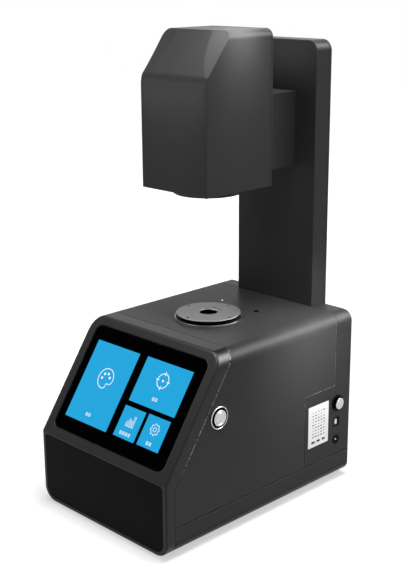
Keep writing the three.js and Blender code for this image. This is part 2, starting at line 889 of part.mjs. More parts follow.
function buildTrap(parent) {
  const trap = addGroup(parent, 0, portY, 0);
  const foot = panFloor + seatGap;
  const cup = spun([
    [0, foot],
    [trapRadius, foot],
    [trapRadius, trapTop],
    [trapRadius - trapWall, trapTop],
    [trapRadius - trapWall, foot + trapWall],
    [0, foot + trapWall],
  ], innerSteps);
  addPiece(trap, 'light_trap', cup, blackPlastic);
  const pivot = addGroup(trap, -shutterPivot, 0, 0);
  const motorTop = trapTop - shutterGap;
  const motorFoot = motorTop - motorLength;
  const hubTop = shutterZ + shutterThickness + shutterHubRise;
  const motor = spun([
    [0, motorFoot],
    [motorRadius, motorFoot],
    [motorRadius, motorTop],
    [motorShaftRadius, motorTop],
    [motorShaftRadius, hubTop],
    [0, hubTop],
  ], innerSteps);
  addPiece(pivot, 'shutter_motor', motor, sheetSteel);
  const flagTop = shutterZ + shutterThickness;
  const flag = joined([
    bar('z', shutterRadius, shutterZ, flagTop, shutterPivot, 0, innerSteps),
    block(0, shutterPivot, -shutterArmWidth / 2, shutterArmWidth / 2, shutterZ, flagTop),
    bar('z', shutterHubRadius, shutterZ, hubTop, 0, 0, innerSteps),
  ]);
  const shaftHole = bar('z', motorShaftRadius + fitGap, 0, baseTop, 0, 0, innerSteps);
  addPiece(pivot, 'trap_shutter', flag.subtract(shaftHole), whiteCoat);
  const plateTop = motorFoot - seatGap;
  const plateFoot = plateTop - motorPlateThickness;
  const arm = block(0, shutterPivot, -motorRadius, motorRadius, plateFoot, plateTop);
  const bracket = joined([
    bar('z', motorRadius, plateFoot, plateTop, 0, 0, innerSteps),
    bar('z', trapRadius + motorPlateRim, plateFoot, plateTop, shutterPivot, 0),
    arm,
  ]).subtract(bar('z', trapRadius + fitGap, 0, baseTop, shutterPivot, 0));
  addPiece(pivot, 'shutter_motor_bracket', bracket, sheetSteel);
}

// A button on the right side, drawn with z pointing out of the casing and 0 on its face
function buildButton(parent, y, z, prefix, size, housingMaterial) {
  const button = addGroup(parent, halfWidth, y, z);
  button.rotation.y = Math.PI / 2;
  const capBore = size.capRadius + fitGap;
  const stemBore = capStemRadius + fitGap;
  const capFoot = size.standout - size.capThickness;
  const boreFloor = capFoot - size.travel - fitGap;
  const housing = spun([
    [stemBore, -size.bodyLength],
    [size.threadRadius, -size.bodyLength],
    [size.threadRadius, seatGap],
    [size.bezelRadius, seatGap],
    [size.bezelRadius, size.bezelThickness - size.bezelBevel],
    [size.bezelRadius - size.bezelBevel, size.bezelThickness],
    [capBore, size.bezelThickness],
    [capBore, boreFloor],
    [stemBore, boreFloor],
  ]);
  addPiece(button, `${prefix}_housing`, housing, housingMaterial);
  const cap = spun([
    [0, capFoot - capStemReach],
    [capStemRadius, capFoot - capStemReach],
    [capStemRadius, capFoot],
    [size.capRadius, capFoot],
    [size.capRadius, size.standout - capEdgeBevel],
    [size.capRadius - capEdgeBevel, size.standout],
    [0, size.standout],
  ]);
  addPiece(button, `${prefix}_cap`, cap, steel);
  const nutTop = -casingWall - seatGap;
  const nutBore = bar('z', size.threadRadius + fitGap, nutTop - nutThickness - overrun, 0, 0, 0);
  const hexagon = polygon(arcPoints(size.threadRadius + nutOverhang, 0, 2 * Math.PI, hexagonSides).slice(1));
  const nut = extruded(hexagon, 'z', nutTop - nutThickness, nutTop).subtract(nutBore);
  addPiece(button, `${prefix}_nut`, nut, brass);
  const switchTop = -size.bodyLength - seatGap;
  const switchFoot = switchTop - switchLength;
  const blades = [-terminalSpacing / 2, terminalSpacing / 2].map((x) => block(
    x - terminalThickness / 2,
    x + terminalThickness / 2,
    -terminalWidth / 2,
    terminalWidth / 2,
    switchFoot - terminalLength,
    switchFoot + terminalThickness,
  ));
  const body = block(
    -switchHeight / 2,
    switchHeight / 2,
    -switchWidth / 2,
    switchWidth / 2,
    switchFoot,
    switchTop,
  );
  addPiece(button, `${prefix}_switch`, joined([body, ...blades]), blackPlastic);
}

function buildButtons(parent) {
  buildButton(parent, testButtonY, testButtonZ, 'test_button', {
    bezelRadius: testBezelRadius,
    bezelThickness: testBezelThickness,
    bezelBevel: testBezelBevel,
    threadRadius: testThreadRadius,
    bodyLength: testBodyLength,
    capRadius: testCapRadius,
    standout: testCapStandout,
    capThickness: testCapThickness,
    travel: testTravel,
  }, steel);
  buildButton(parent, powerButtonY, powerButtonZ, 'power_button', {
    bezelRadius: powerBezelRadius,
    bezelThickness: powerBezelThickness,
    bezelBevel: powerBezelBevel,
    threadRadius: powerThreadRadius,
    bodyLength: powerBodyLength,
    capRadius: powerCapRadius,
    standout: powerCapStandout,
    capThickness: powerCapThickness,
    travel: powerTravel,
  }, blackPlastic);
}

function buildSockets(parent) {
  const usb = addGroup(parent, halfWidth, usbY, usbZ);
  usb.rotation.y = Math.PI / 2;
  const box = (tall, wide, z0, z1) => block(-tall / 2, tall / 2, -wide / 2, wide / 2, z0, z1);
  const usbBody = box(usbTall, usbWidth, -socketLength, 0)
    .subtract(box(usbTall - 2 * usbWall, usbWidth - 2 * usbWall, -usbOpeningDepth, overrun))
    .add(box(usbTongueTall, usbTongueWidth, -socketLength + casingWall, -usbTongueInset));
  addPiece(usb, 'usb_socket', usbBody, blackPlastic);
  const jack = addGroup(parent, halfWidth, jackY, jackZ);
  jack.rotation.y = Math.PI / 2;
  const flangeTop = seatGap + jackFlangeThickness;
  const jackBody = spun([
    [0, -socketLength],
    [jackBodyRadius, -socketLength],
    [jackBodyRadius, seatGap],
    [jackBodyRadius + jackFlangeLip, seatGap],
    [jackBodyRadius + jackFlangeLip, flangeTop],
    [jackBore, flangeTop],
    [jackBore, -jackBoreDepth],
    [jackPinRadius, -jackBoreDepth],
    [jackPinRadius, -jackPinInset],
    [0, -jackPinInset],
  ], innerSteps);
  addPiece(jack, 'dc_jack', jackBody, blackPlastic);
  const board = block(
    socketBoardX,
    socketBoardX + boardThickness,
    socketBoardFront,
    socketBoardRear,
    panFloor + boardPostHeight + seatGap,
    usbZ + socketBoardRise,
  );
  addPiece(parent, 'socket_board', board, boardGreen);
  const label = block(
    halfWidth + seatGap,
    halfWidth + seatGap + labelThickness,
    rearY - labelInset - labelDepth,
    rearY - labelInset,
    sharedZ(labelLowShare),
    sharedZ(labelHighShare),
  );
  addPiece(parent, 'rating_label', label, labelPaper);
}

function mainBoard() {
  const half = mainBoardWidth / 2;
  const top = mainBoardZ + boardThickness;
  const lower = mainBoardZ + boardThickness / 2;
  const midY = (mainBoardFront + mainBoardRear) / 2;
  const chip = (x) => block(
    x - chipSize / 2,
    x + chipSize / 2,
    midY - chipSize / 2,
    midY + chipSize / 2,
    lower,
    top + chipHeight,
  );
  const plug = (x) => block(
    x - plugWidth / 2,
    x + plugWidth / 2,
    mainBoardRear - plugDepth,
    mainBoardRear,
    lower,
    top + plugHeight,
  );
  return joined([
    block(-half, half, mainBoardFront, mainBoardRear, mainBoardZ, top),
    chip(0),
    chip(-2 * chipSize),
    plug(leadPlugX),
    plug(0),
  ]);
}

function foot() {
  const seat = baseBottom - seatGap;
  return spun([
    [0, 0],
    [footRadius, 0],
    [footRadius, seat],
    [footStudRadius, seat],
    [footStudRadius, panFloor + footStudRise],
    [0, panFloor + footStudRise],
  ], innerSteps);
}

function columnOutline(inset, bottom) {
  return roundedOutline(
    -columnHalf + inset,
    columnHalf - inset,
    bottom,
    columnHigh - inset,
    0,
    columnCorner - inset,
  );
}

const cableExitZ = panFloor + 2 * cableHoleRadius + casingWall;
const cableExitX = postHalf - cableHoleRadius - postWall;

function buildColumn(parent) {
  const coverFoot = baseBottom + columnCoverFoot;
  const cover = extruded(columnOutline(0, coverFoot), 'y', columnFront, rearY)
    .subtract(extruded(
      columnOutline(columnCoverWall, coverFoot - overrun),
      'y',
      columnFront + columnCoverWall,
      rearY + overrun,
    ))
    .subtract(bar('y', cableHoleRadius, columnFront - overrun, rearY, 0, armMid, innerSteps));
  addPiece(parent, 'column_front_cover', cover, casingPaint);
  const plate = extruded(columnOutline(0, baseBottom + rearPlateFoot), 'y', rearY + seatGap, columnRear);
  addPiece(parent, 'column_rear_cover', plate, casingPaint);
  const postFoot = panFloor + seatGap;
  const postTop = columnHigh - postTopGap;
  const post = cutBy(block(-postHalf, postHalf, postFront, postRear, postFoot, postTop), [
    block(
      -postHalf + postWall,
      postHalf - postWall,
      postFront + postWall,
      postRear - postWall,
      postFoot - overrun,
      postTop + overrun,
    ),
    bar('y', cableHoleRadius, postFront - overrun, postFront + postWall + overrun, 0, armMid, innerSteps),
    bar(
      'y',
      cableHoleRadius,
      postFront - overrun,
      postFront + postWall + overrun,
      cableExitX,
      cableExitZ,
      innerSteps,
    ),
  ]);
  addPiece(parent, 'column_post', post, sheetSteel);
  const face = postFront - seatGap;
  const bracket = polygon([
    [face - bracketReach, postFoot],
    [face, postFoot],
    [face, postFoot + bracketRise],
    [face - bracketThickness, postFoot + bracketRise],
    [face - bracketThickness, postFoot + bracketThickness],
    [face - bracketReach, postFoot + bracketThickness],
  ]);
  addPiece(parent, 'column_foot_bracket',
    extruded(bracket, 'x', -bracketWidth / 2, bracketWidth / 2), sheetSteel);
}

function buildArm(parent) {
  const half = armWidth / 2;
  const rear = columnFront - seatGap;
  const holeEnd = columnFront + overrun;
  const cableHole = bar('y', cableHoleRadius, headRear - overrun, holeEnd, 0, armMid, innerSteps);
  const arm = block(-half, half, armFront, rear, armLow, armHigh)
    .subtract(block(
      -half + armWall,
      half - armWall,
      armFront + armEndWall,
      rear - armEndWall,
      armLow + armWall,
      armHigh - armWall,
    ))
    .subtract(cableHole);
  addPiece(parent, 'head_arm', arm, casingPaint);
  const plateHalf = half + armPlateOverhang;
  const plate = block(
    -plateHalf,
    plateHalf,
    armPlateY,
    armPlateY + armPlateThickness,
    armLow - armPlateOverhang,
    armHigh + armPlateOverhang,
  ).subtract(cableHole);
  addPiece(parent, 'arm_front_plate', plate, steel);
}

// Y of the head's slanted front at a height, drawn in by an inset
const headSlant = Math.atan2(headSlopeDrop, headSlopeRun);
const headSlantY = (z, inset) =>
  headFront + (z - headSlopeZ) / Math.tan(headSlant) + inset / Math.sin(headSlant);

// Side outline of the head, seen along X
function headSide(inset, slantInset, bottom, rear) {
  const front = headFront + inset;
  const high = headTop - inset;
  const knee = headSlopeZ + (inset - slantInset / Math.sin(headSlant)) * Math.tan(headSlant);
  return polygon([
    [front, bottom],
    [rear, bottom],
    [rear, high],
    [headSlantY(high, slantInset), high],
    [front, knee],
  ]);
}

function headSection(inset, bottom) {
  const half = headHalf - inset;
  return roundedOutline(-half, half, bottom, headTop - inset, 0, headTopCorner - inset);
}

// Cutter for the curved bevel between the slanted front and one side of the head (side is 1 or -1).
// Its lines lean back by the bevel's angle and pass through a curve drawn on the slanted front.
function headBevelCutter(side) {
  const lean = THREE.MathUtils.degToRad(headBevelDegrees);
  const across = new THREE.Vector3(-side * Math.sin(lean), Math.cos(lean), 0);
  const frame = new THREE.Matrix4().makeBasis(across, unitZ, across.clone().cross(unitZ));
  const points = [];
  for (let step = 0; step <= headBevelSteps; step += 1) {
    const share = step / headBevelSteps;
    const inward = headBevelWidth * (1 - (1 - share) ** headBevelPower);
    const z = headSlopeZ + share * headSlopeDrop;
    const point = new THREE.Vector3(side * (headHalf - inward), headSlantY(z, 0), 0);
    points.push([point.dot(across), z]);
  }
  const [first] = points[0];
  const [last] = points[headBevelSteps];
  const high = headTop + overrun;
  points.push([last, high], [first - headWidth, high], [first - headWidth, headSlopeZ]);
  const from = side > 0 ? 0 : -headWidth;
  return extrudedIn(frame, polygon(points), from, from + headWidth);
}

function headCover() {
  const outer = extruded(headSide(0, 0, headBottom, headPlateY - seatGap), 'x', -headHalf, headHalf)
    .intersect(extruded(headSection(0, headBottom), 'y', headFront, headRear));
  const cavity = extruded(
    headSide(casingWall, headSlopeWall, headBottom - overrun, headRear),
    'x',
    -headHalf,
    headHalf,
  ).intersect(extruded(headSection(casingWall, headBottom - overrun), 'y', headFront, headRear));
  return cutBy(outer, [cavity, headBevelCutter(1), headBevelCutter(-1)]);
}

function buildHeadCasing(parent) {
  addPiece(parent, 'head_cover', headCover(), casingPaint);
  const rearPlate = extruded(headSection(0, headBottom), 'y', headPlateY, headRear)
    .subtract(bar('y', cableHoleRadius, headPlateY - overrun, headRear + overrun, 0, armMid, innerSteps));
  addPiece(parent, 'head_rear_plate', rearPlate, casingPaint);
  const half = headHalf - casingWall - fitGap;
  const bottomPlate = block(
    -half,
    half,
    headFront + casingWall + fitGap,
    headPlateY - fitGap,
    headBottom,
    headBottom + headPlateThickness,
  ).subtract(bar(
    'z',
    barrelRadius + ringNeckRim + fitGap,
    headBottom - overrun,
    headBottom + headPlateThickness + overrun,
    0,
    portY,
  ));
  addPiece(parent, 'head_bottom_plate', bottomPlate, casingPaint);
}

// A lens with two bulging faces inside a flat rim; low is the height of the rim's underside
function lens(radius, low) {
  const high = low + lensEdge;
  const face = (sign, base) => {
    const points = [];
    for (let step = 0; step <= lensSteps; step += 1) {
      const share = step / lensSteps;
      points.push([(radius - lensRim) * share, base + sign * lensBulge * (1 - share * share)]);
    }
    return [...points, [radius, base]];
  };
  return spun([...face(-1, low), ...face(1, high).reverse()], innerSteps);
}

function buildLightSource(parent) {
  const optics = addGroup(parent, 0, portY, headBottom);
  const neckTop = headPlateThickness + fitGap;
  const ring = spun([
    [ringBore, ringMouthDepth - ringDrop],
    [ringBore + ringMouthFlare, -ringDrop],
    [ringRadius - ringEdgeBevel, -ringDrop],
    [ringRadius, -ringDrop + ringEdgeBevel],
    [ringRadius, -seatGap],
    [barrelRadius + ringNeckRim, -seatGap],
    [barrelRadius + ringNeckRim, neckTop],
    [ringBore, neckTop],
  ], fineSteps);
  addPiece(optics, 'aperture_ring', ring, framePlastic);
  const barrelFoot = neckTop + seatGap;
  const barrelTop = barrelFoot + barrelLength;
  const barrel = spun([
    [ringBore, barrelFoot],
    [barrelRadius, barrelFoot],
    [barrelRadius, barrelTop],
    [barrelBore, barrelTop],
    [barrelBore, barrelFoot + barrelShoulder],
    [ringBore, barrelFoot + barrelShoulder],
  ]);
  addPiece(optics, 'lens_barrel', barrel, blackPlastic);
  const lensRadius = barrelBore - fitGap;
  const lensFoot = barrelFoot + barrelShoulder + seatGap;
  addPiece(optics, 'collimating_lens', lens(lensRadius, lensFoot), lensGlass);
  const retainerFoot = lensFoot + lensEdge + seatGap;
  const retainer = spun([
    [lensRadius - retainerWall, retainerFoot],
    [lensRadius, retainerFoot],
    [lensRadius, retainerFoot + retainerHeight],
    [lensRadius - retainerWall, retainerFoot + retainerHeight],
  ], innerSteps);
  addPiece(optics, 'lens_retainer', retainer, sheetSteel);
  const stopFoot = barrelFoot + stopHeight;
  const stop = spun([
    [stopHole, stopFoot],
    [lensRadius, stopFoot],
    [lensRadius, stopFoot + stopThickness],
    [stopHole, stopFoot + stopThickness],
  ], innerSteps);
  addPiece(optics, 'aperture_stop', stop, blackPlastic);
  addPiece(optics, 'condenser_lens', lens(lensRadius, barrelFoot + condenserHeight), lensGlass);
  const half = lampBoardWidth / 2;
  const boardLow = barrelTop + seatGap;
  const boardHigh = boardLow + boardThickness;
  const boardMiddle = (boardLow + boardHigh) / 2;
  const chip = bar('z', lampChipRadius, boardLow - lampChipHeight, boardMiddle, 0, 0, innerSteps);
  const lamp = block(-half, half, -half, half, boardLow, boardHigh).add(chip);
  addPiece(optics, 'lamp_board', lamp, whiteCoat);
  addPiece(optics, 'lamp_heatsink', heatsink(boardHigh + seatGap), sheetSteel);
  buildOpticsBracket(parent);
}

function heatsink(foot) {
  const half = lampBoardWidth / 2;
  const top = foot + sinkBase;
  const pitch = (lampBoardWidth - sinkFinThickness) / (sinkFinCount - 1);
  const fins = [];
  for (let count = 0; count < sinkFinCount; count += 1) {
    const x = -half + count * pitch;
    fins.push(block(x, x + sinkFinThickness, -half, half, top - sinkBase / 2, top + sinkFinHeight));
  }
  return joined([block(-half, half, -half, half, foot, top), ...fins]);
}

// Shelf that holds the lens barrel on the head's rear plate
function buildOpticsBracket(parent) {
  const shelfTop = headBottom + opticsShelfHeight;
  const shelfFoot = shelfTop - opticsShelfThickness;
  const rear = headPlateY - fitGap;
  const front = portY - barrelRadius - opticsShelfThickness;
  const outline = polygon([
    [front, shelfFoot],
    [rear - opticsShelfThickness, shelfFoot],
    [rear - opticsShelfThickness, shelfTop - opticsShelfDrop],
    [rear, shelfTop - opticsShelfDrop],
    [rear, shelfTop],
    [front, shelfTop],
  ]);
  const half = opticsShelfWidth / 2;
  const bracket = extruded(outline, 'x', -half, half)
    .subtract(bar('z', barrelRadius + fitGap, headBottom, headTop, 0, portY));
  addPiece(parent, 'optics_bracket', bracket, sheetSteel);
}

// Route of the lead: out of the lamp board, through arm and post, and along the pan to the main board
function lampCable() {
  const route = [
    [0, 46, 456.4],
    [0, 50, 456.4],
    [0, 55.5, 453],
    [0, 57.5, 444],
    [0, 58.5, 435],
    [0, 64, 429],
    [0, 76, 428.1],
    [0, 100, 428.1],
    [0, 122, 428.1],
    [0, 132, 427.4],
    [0, 140, 422],
    [0, 143, 410],
    [0, 143, 380],
    [8, 143, 300],
    [24, 143, 200],
    [36, 143, 110],
    [39.5, 143, 60],
    [39.5, 142.5, 40],
    [39.5, 138, 28],
    [39.5, 128, 20],
    [39.5, 114, 13],
    [40, 90, 10.5],
    [42, 50, 10.3],
    [44, 0, 10.3],
    [44, -36, 10.6],
    [44, -50, 14.5],
    [44, -61, 18],
    [44, -66, 18.3],
    [44, -71.6, 18.3],
  ];
  const curve = new THREE.CatmullRomCurve3(route.map(([x, y, z]) => new THREE.Vector3(x, y, z)));
  const section = polygon(arcPoints(cableRadius, 0, 2 * Math.PI, cableSides).slice(1));
  const geometry = new THREE.ExtrudeGeometry(section, {
    steps: cableSteps,
    bevelEnabled: false,
    extrudePath: curve,
  });
  return toSolid(geometry);
}

function buildInstrument() {
  const instrument = new THREE.Group();
  const shiftX = -powerCapStandout / 2;
  const shiftY = (rearY - columnRear) / 2;
  const body = addGroup(instrument, shiftX, shiftY, 0);
  addPiece(body, 'base_pan', basePan(), casingPaint);
  addPiece(body, 'main_shell', mainShell(), topPaint);
  addPiece(body, 'rear_shell', rearShell(), casingPaint);
  addPiece(body, 'front_frame', frontFrame(), framePlastic);
  addPiece(body, 'lower_front_panel', lowerFrontPanel(), glossPanel);
  buildScreen(body);
  buildPort(body);
  buildSphere(body);
  buildTrap(body);
  buildButtons(body);
  buildSockets(body);
  addPiece(body, 'main_board', mainBoard(), boardGreen);
  footPlaces.forEach(([name, x, y]) => addPiece(addGroup(body, x, y, 0), name, foot(), rubber));
  buildColumn(body);
  buildArm(body);
  buildHeadCasing(body);
  buildLightSource(body);
  addPiece(body, 'lamp_cable', lampCable(), blackPlastic);
  return instrument;
}

export default buildInstrument();
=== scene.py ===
import math

import bmesh
import bpy
from mathutils import Matrix, Vector


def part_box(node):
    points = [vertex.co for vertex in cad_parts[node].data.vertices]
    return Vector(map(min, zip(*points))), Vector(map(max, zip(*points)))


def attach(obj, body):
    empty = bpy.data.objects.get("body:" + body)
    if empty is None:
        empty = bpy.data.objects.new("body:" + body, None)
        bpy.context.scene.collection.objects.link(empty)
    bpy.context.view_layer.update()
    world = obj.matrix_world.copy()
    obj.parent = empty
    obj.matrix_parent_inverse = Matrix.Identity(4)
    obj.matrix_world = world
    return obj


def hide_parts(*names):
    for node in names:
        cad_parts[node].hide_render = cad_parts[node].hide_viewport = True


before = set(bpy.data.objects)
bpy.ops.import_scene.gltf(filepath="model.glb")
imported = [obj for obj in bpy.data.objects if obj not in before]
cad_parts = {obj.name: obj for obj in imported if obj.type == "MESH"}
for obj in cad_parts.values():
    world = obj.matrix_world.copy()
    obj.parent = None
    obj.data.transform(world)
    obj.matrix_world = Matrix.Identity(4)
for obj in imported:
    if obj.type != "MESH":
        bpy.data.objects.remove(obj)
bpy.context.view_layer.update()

# Everything is drawn in millimetres about the middle of the base, then placed in metres
MM = 0.001
FIT_GAP = 0.3
SEAT_GAP = 0.05
OVERRUN = 4
SHORT_OVERRUN = 1
WALL = 3
ARC_STEPS = 16
TURN_STEPS = 96
SMALL_TURN_STEPS = 48
HOLE_STEPS = 32
SCREW_STEPS = 24

# Sizes of the port plate that its finish needs too
APERTURE_RADIUS = 10.5
PLATE_EDGE_ROUND = 0.12


def base_centre():
    """The middle of the base between the frame's face and the rear, at table height, in mm."""
    front_low, front_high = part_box("front_frame")
    rear_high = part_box("rear_shell")[1]
    return Vector((front_low.x + front_high.x, front_low.y + rear_high.y, 0)) / (2 * MM)


CENTRE = base_centre()


def node_box(node):
    """A node's lowest and highest corners in mm, measured from the middle of the base."""
    low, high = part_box(node)
    return low / MM - CENTRE, high / MM - CENTRE


def node_middle(node):
    low, high = node_box(node)
    return (low + high) / 2


# Camera, lights and floor

def add_camera():
    """The photograph's viewpoint, solved from the edges of the base, column, arm and head."""
    place = Vector((0.88475, -0.8681, 0.6111))
    azimuth, elevation, roll = (math.radians(angle) for angle in (45.50, 16.21, 0.38))
    forward = Vector((
        -math.sin(azimuth) * math.cos(elevation),
        math.cos(azimuth) * math.cos(elevation),
        -math.sin(elevation),
    ))
    right = Vector((math.cos(azimuth), math.sin(azimuth), 0))
    down = forward.cross(right)
    tilted_right = right * math.cos(roll) + down * math.sin(roll)
    tilted_down = down * math.cos(roll) - right * math.sin(roll)
    camera_data = bpy.data.cameras.new("camera")
    camera_data.lens = 68.823
    camera_data.sensor_width = 36
    camera = bpy.data.objects.new("camera", camera_data)
    turn = Matrix((tilted_right, -tilted_down, -forward)).transposed().to_4x4()
    camera.matrix_world = Matrix.Translation(place) @ turn
    bpy.context.scene.collection.objects.link(camera)
    bpy.context.scene.camera = camera


def add_softbox(
    name, place, target, size, power, depth=None, spread=180, shine_only=False, shines=True,
):
    """A softbox, round or a strip across X.

    With shine_only it is seen in reflections alone, and with shines=False it is never seen in them.
    """
    lamp_data = bpy.data.lights.new(name, "AREA")
    lamp_data.shape = "DISK" if depth is None else "RECTANGLE"
    lamp_data.size = size
    if depth is not None:
        lamp_data.size_y = depth
    lamp_data.energy = power
    lamp_data.spread = math.radians(spread)
    lamp = bpy.data.objects.new(name, lamp_data)
    lamp.visible_camera = False
    lamp.visible_diffuse = not shine_only
    lamp.visible_glossy = shines
    aim = (Vector(target) - Vector(place)).to_track_quat("-Z", "Y")
    lamp.matrix_world = Matrix.Translation(Vector(place)) @ aim.to_matrix().to_4x4()
    bpy.context.scene.collection.objects.link(lamp)


def add_lights():
    add_softbox("ceiling_softbox", (0.25, 0.1, 1.9), (0.05, 0, 0.2), 1.0, 28)
    add_softbox("rear_right_softbox", (0.63, 0.81, 1.73), (0, 0, 0.25), 1.2, 3.3)
    add_softbox("right_softbox", (1.6, -0.2, 0.7), (0, 0, 0.3), 0.8, 2.6)
    add_softbox("front_softbox", (-0.3, -1.6, 1.3), (0, 0, 0.4), 1.0, 4.5, shines=False)
    add_softbox(
        "column_softbox", (0.02, 0, 0.6), (0.02, 0.13, 0.49), 0.05, 0.018, spread=50, shines=False)
    add_softbox("rear_side_softbox", (0.3, 0.07, 0.34), (0.105, 0.08, 0.2), 0.06, 0.1, spread=50)
    add_softbox(
        "head_front_strip", (-0.002, -0.052, 0.515), (-0.002, -0.0455, 0.4), 0.11, 0.035, 0.01, 60)
    add_softbox("head_side_softbox", (0.085, 0.015, 0.6), (0.0495, 0.015, 0.545), 0.06, 0.07, spread=62)
    add_softbox(
        "edge_softbox", (0.297, 0.323, 0.479), (0.1, 0.02, 0.21), 0.56, 2.0, spread=50, shine_only=True)
    add_softbox("facet_softbox", (-0.69, -0.87, 1.68), (0, 0, 0.5), 0.45, 38, shine_only=True)


def seen_directly(tree):
    """1 for rays that come from the camera, a reflection or glass, and 0 for the rest."""
    path = tree.nodes.new("ShaderNodeLightPath")
    rays = ("Is Camera Ray", "Is Glossy Ray", "Is Transmission Ray")
    total = path.outputs[rays[0]]
    for ray in rays[1:]:
        both = tree.nodes.new("ShaderNodeMath")
        both.operation = "MAXIMUM"
        tree.links.new(total, both.inputs[0])
        tree.links.new(path.outputs[ray], both.inputs[1])
        total = both.outputs[0]
    return total


def add_world():
    ambient = 0.045
    world = bpy.data.worlds.new("studio")
    world.use_nodes = True
    tree = world.node_tree
    strength = tree.nodes.new("ShaderNodeMapRange")
    strength.inputs["To Min"].default_value = ambient
    strength.inputs["To Max"].default_value = 1
    tree.links.new(seen_directly(tree), strength.inputs["Value"])
    background = tree.nodes["Background"]
    background.inputs["Color"].default_value = (1, 1, 1, 1)
    tree.links.new(strength.outputs["Result"], background.inputs["Strength"])
    bpy.context.scene.world = world


def add_floor():
    """A white floor: lit near the object, so that its shadow shows, and glowing further out."""
    floor_half = 4
    albedo = 0.8
    glow_near, glow_far = 0.54, 1.0
    near, far = 0.4, 1.7
    bm = bmesh.new()
    bmesh.ops.create_grid(bm, x_segments=1, y_segments=1, size=floor_half)
    mesh = bpy.data.meshes.new("floor")
    bm.to_mesh(mesh)
    bm.free()
    floor = bpy.data.objects.new("floor", mesh)
    bpy.context.scene.collection.objects.link(floor)
    material = bpy.data.materials.new("floor_white")
    material.use_nodes = True
    tree = material.node_tree
    shader = tree.nodes["Principled BSDF"]
    shader.inputs["Base Color"].default_value = (albedo, albedo, albedo, 1)
    shader.inputs["Roughness"].default_value = 0.9
    shader.inputs["Specular IOR Level"].default_value = 0
    shader.inputs["Emission Color"].default_value = (1, 1, 1, 1)
    where = tree.nodes.new("ShaderNodeTexCoord").outputs["Object"]
    reach = tree.nodes.new("ShaderNodeVectorMath")
    reach.operation = "LENGTH"
    tree.links.new(where, reach.inputs[0])
    rise = tree.nodes.new("ShaderNodeMapRange")
    rise.interpolation_type = "SMOOTHSTEP"
    limits = {"From Min": near, "From Max": far, "To Min": glow_near, "To Max": glow_far}
    for socket, number in limits.items():
        rise.inputs[socket].default_value = number
    tree.links.new(reach.outputs["Value"], rise.inputs["Value"])
    strength = tree.nodes.new("ShaderNodeMath")
    strength.operation = "MULTIPLY"
    tree.links.new(rise.outputs["Result"], strength.inputs[1])
    tree.links.new(seen_directly(tree), strength.inputs[0])
    tree.links.new(strength.outputs[0], shader.inputs["Emission Strength"])
    mesh.materials.append(material)


# Shader node groups: each is built once and placed in the materials with their own values

def new_group(name, inputs, outputs):
    tree = bpy.data.node_groups.new(name, "ShaderNodeTree")
    for socket, kind, value in inputs:
        made = tree.interface.new_socket(name=socket, in_out="INPUT", socket_type=kind)
        if value is not None:
            made.default_value = value
    for socket in outputs:
        tree.interface.new_socket(name=socket, in_out="OUTPUT", socket_type="NodeSocketFloat")
    return tree, tree.nodes.new("NodeGroupInput"), tree.nodes.new("NodeGroupOutput")


def math_node(tree, operation, first, second):
    node = tree.nodes.new("ShaderNodeMath")
    node.operation = operation
    for socket, value in zip(node.inputs, (first, second)):
        if isinstance(value, (int, float)):
            socket.default_value = value
        else:
            tree.links.new(value, socket)
    return node.outputs[0]


def noise_node(tree, vector, scale, detail=2, roughness=0.5):
    node = tree.nodes.new("ShaderNodeTexNoise")
    node.inputs["Detail"].default_value = detail
    node.inputs["Roughness"].default_value = roughness
    tree.links.new(vector, node.inputs["Vector"])
    if isinstance(scale, (int, float)):
        node.inputs["Scale"].default_value = scale
    else:
        tree.links.new(scale, node.inputs["Scale"])
    return node.outputs[0]


def range_node(tree, value, low, high, to_low=0, to_high=1):
    node = tree.nodes.new("ShaderNodeMapRange")
    limits = {"From Min": low, "From Max": high, "To Min": to_low, "To Max": to_high}
    for socket, number in limits.items():
        node.inputs[socket].default_value = number
    tree.links.new(value, node.inputs["Value"])
    return node.outputs["Result"]


def make_surface_grain():
    """Fine pebbling of a sprayed or moulded skin, with specks; Grain is its size in mm."""
    specks_per_grain = 2.6
    speck_start, speck_full = 0.6, 0.75
    tree, given, result = new_group(
        "surface_grain",
        [("Vector", "NodeSocketVector", None), ("Grain", "NodeSocketFloat", 0.8)],
        ["Height", "Specks"],
    )
    scale = math_node(tree, "DIVIDE", 1 / MM, given.outputs["Grain"])
    height = noise_node(tree, given.outputs["Vector"], scale, 3, 0.55)
    tree.links.new(height, result.inputs["Height"])
    speck_scale = math_node(tree, "MULTIPLY", scale, specks_per_grain)
    specks = noise_node(tree, given.outputs["Vector"], speck_scale, 1)
    shown = range_node(tree, specks, speck_start, speck_full)
    tree.links.new(shown, result.inputs["Specks"])
    return tree


def make_tone_drift():
    """Slow change of tone across a surface, from 0 to 1; Patch is its size in mm."""
    tree, given, result = new_group(
        "tone_drift",
        [("Vector", "NodeSocketVector", None), ("Patch", "NodeSocketFloat", 60)],
        ["Tone"],
    )
    scale = math_node(tree, "DIVIDE", 1 / MM, given.outputs["Patch"])
    drift = noise_node(tree, given.outputs["Vector"], scale, 2)
    tree.links.new(range_node(tree, drift, 0.3, 0.7), result.inputs["Tone"])
    return tree


def make_handling_marks():
    """Soft smears left by wiping and touching; Size is their size in mm."""
    streaks_per_smear = 5
    smear_start, smear_full = 0.2, 0.36
    tree, given, result = new_group(
        "handling_marks",
        [("Vector", "NodeSocketVector", None), ("Size", "NodeSocketFloat", 30)],
        ["Smear"],
    )
    scale = math_node(tree, "DIVIDE", 1 / MM, given.outputs["Size"])
    broad = noise_node(tree, given.outputs["Vector"], scale, 4, 0.6)
    streak_scale = math_node(tree, "MULTIPLY", scale, streaks_per_smear)
    fine = noise_node(tree, given.outputs["Vector"], streak_scale, 2)
    both = math_node(tree, "MULTIPLY", broad, fine)
    tree.links.new(range_node(tree, both, smear_start, smear_full), result.inputs["Smear"])
    return tree


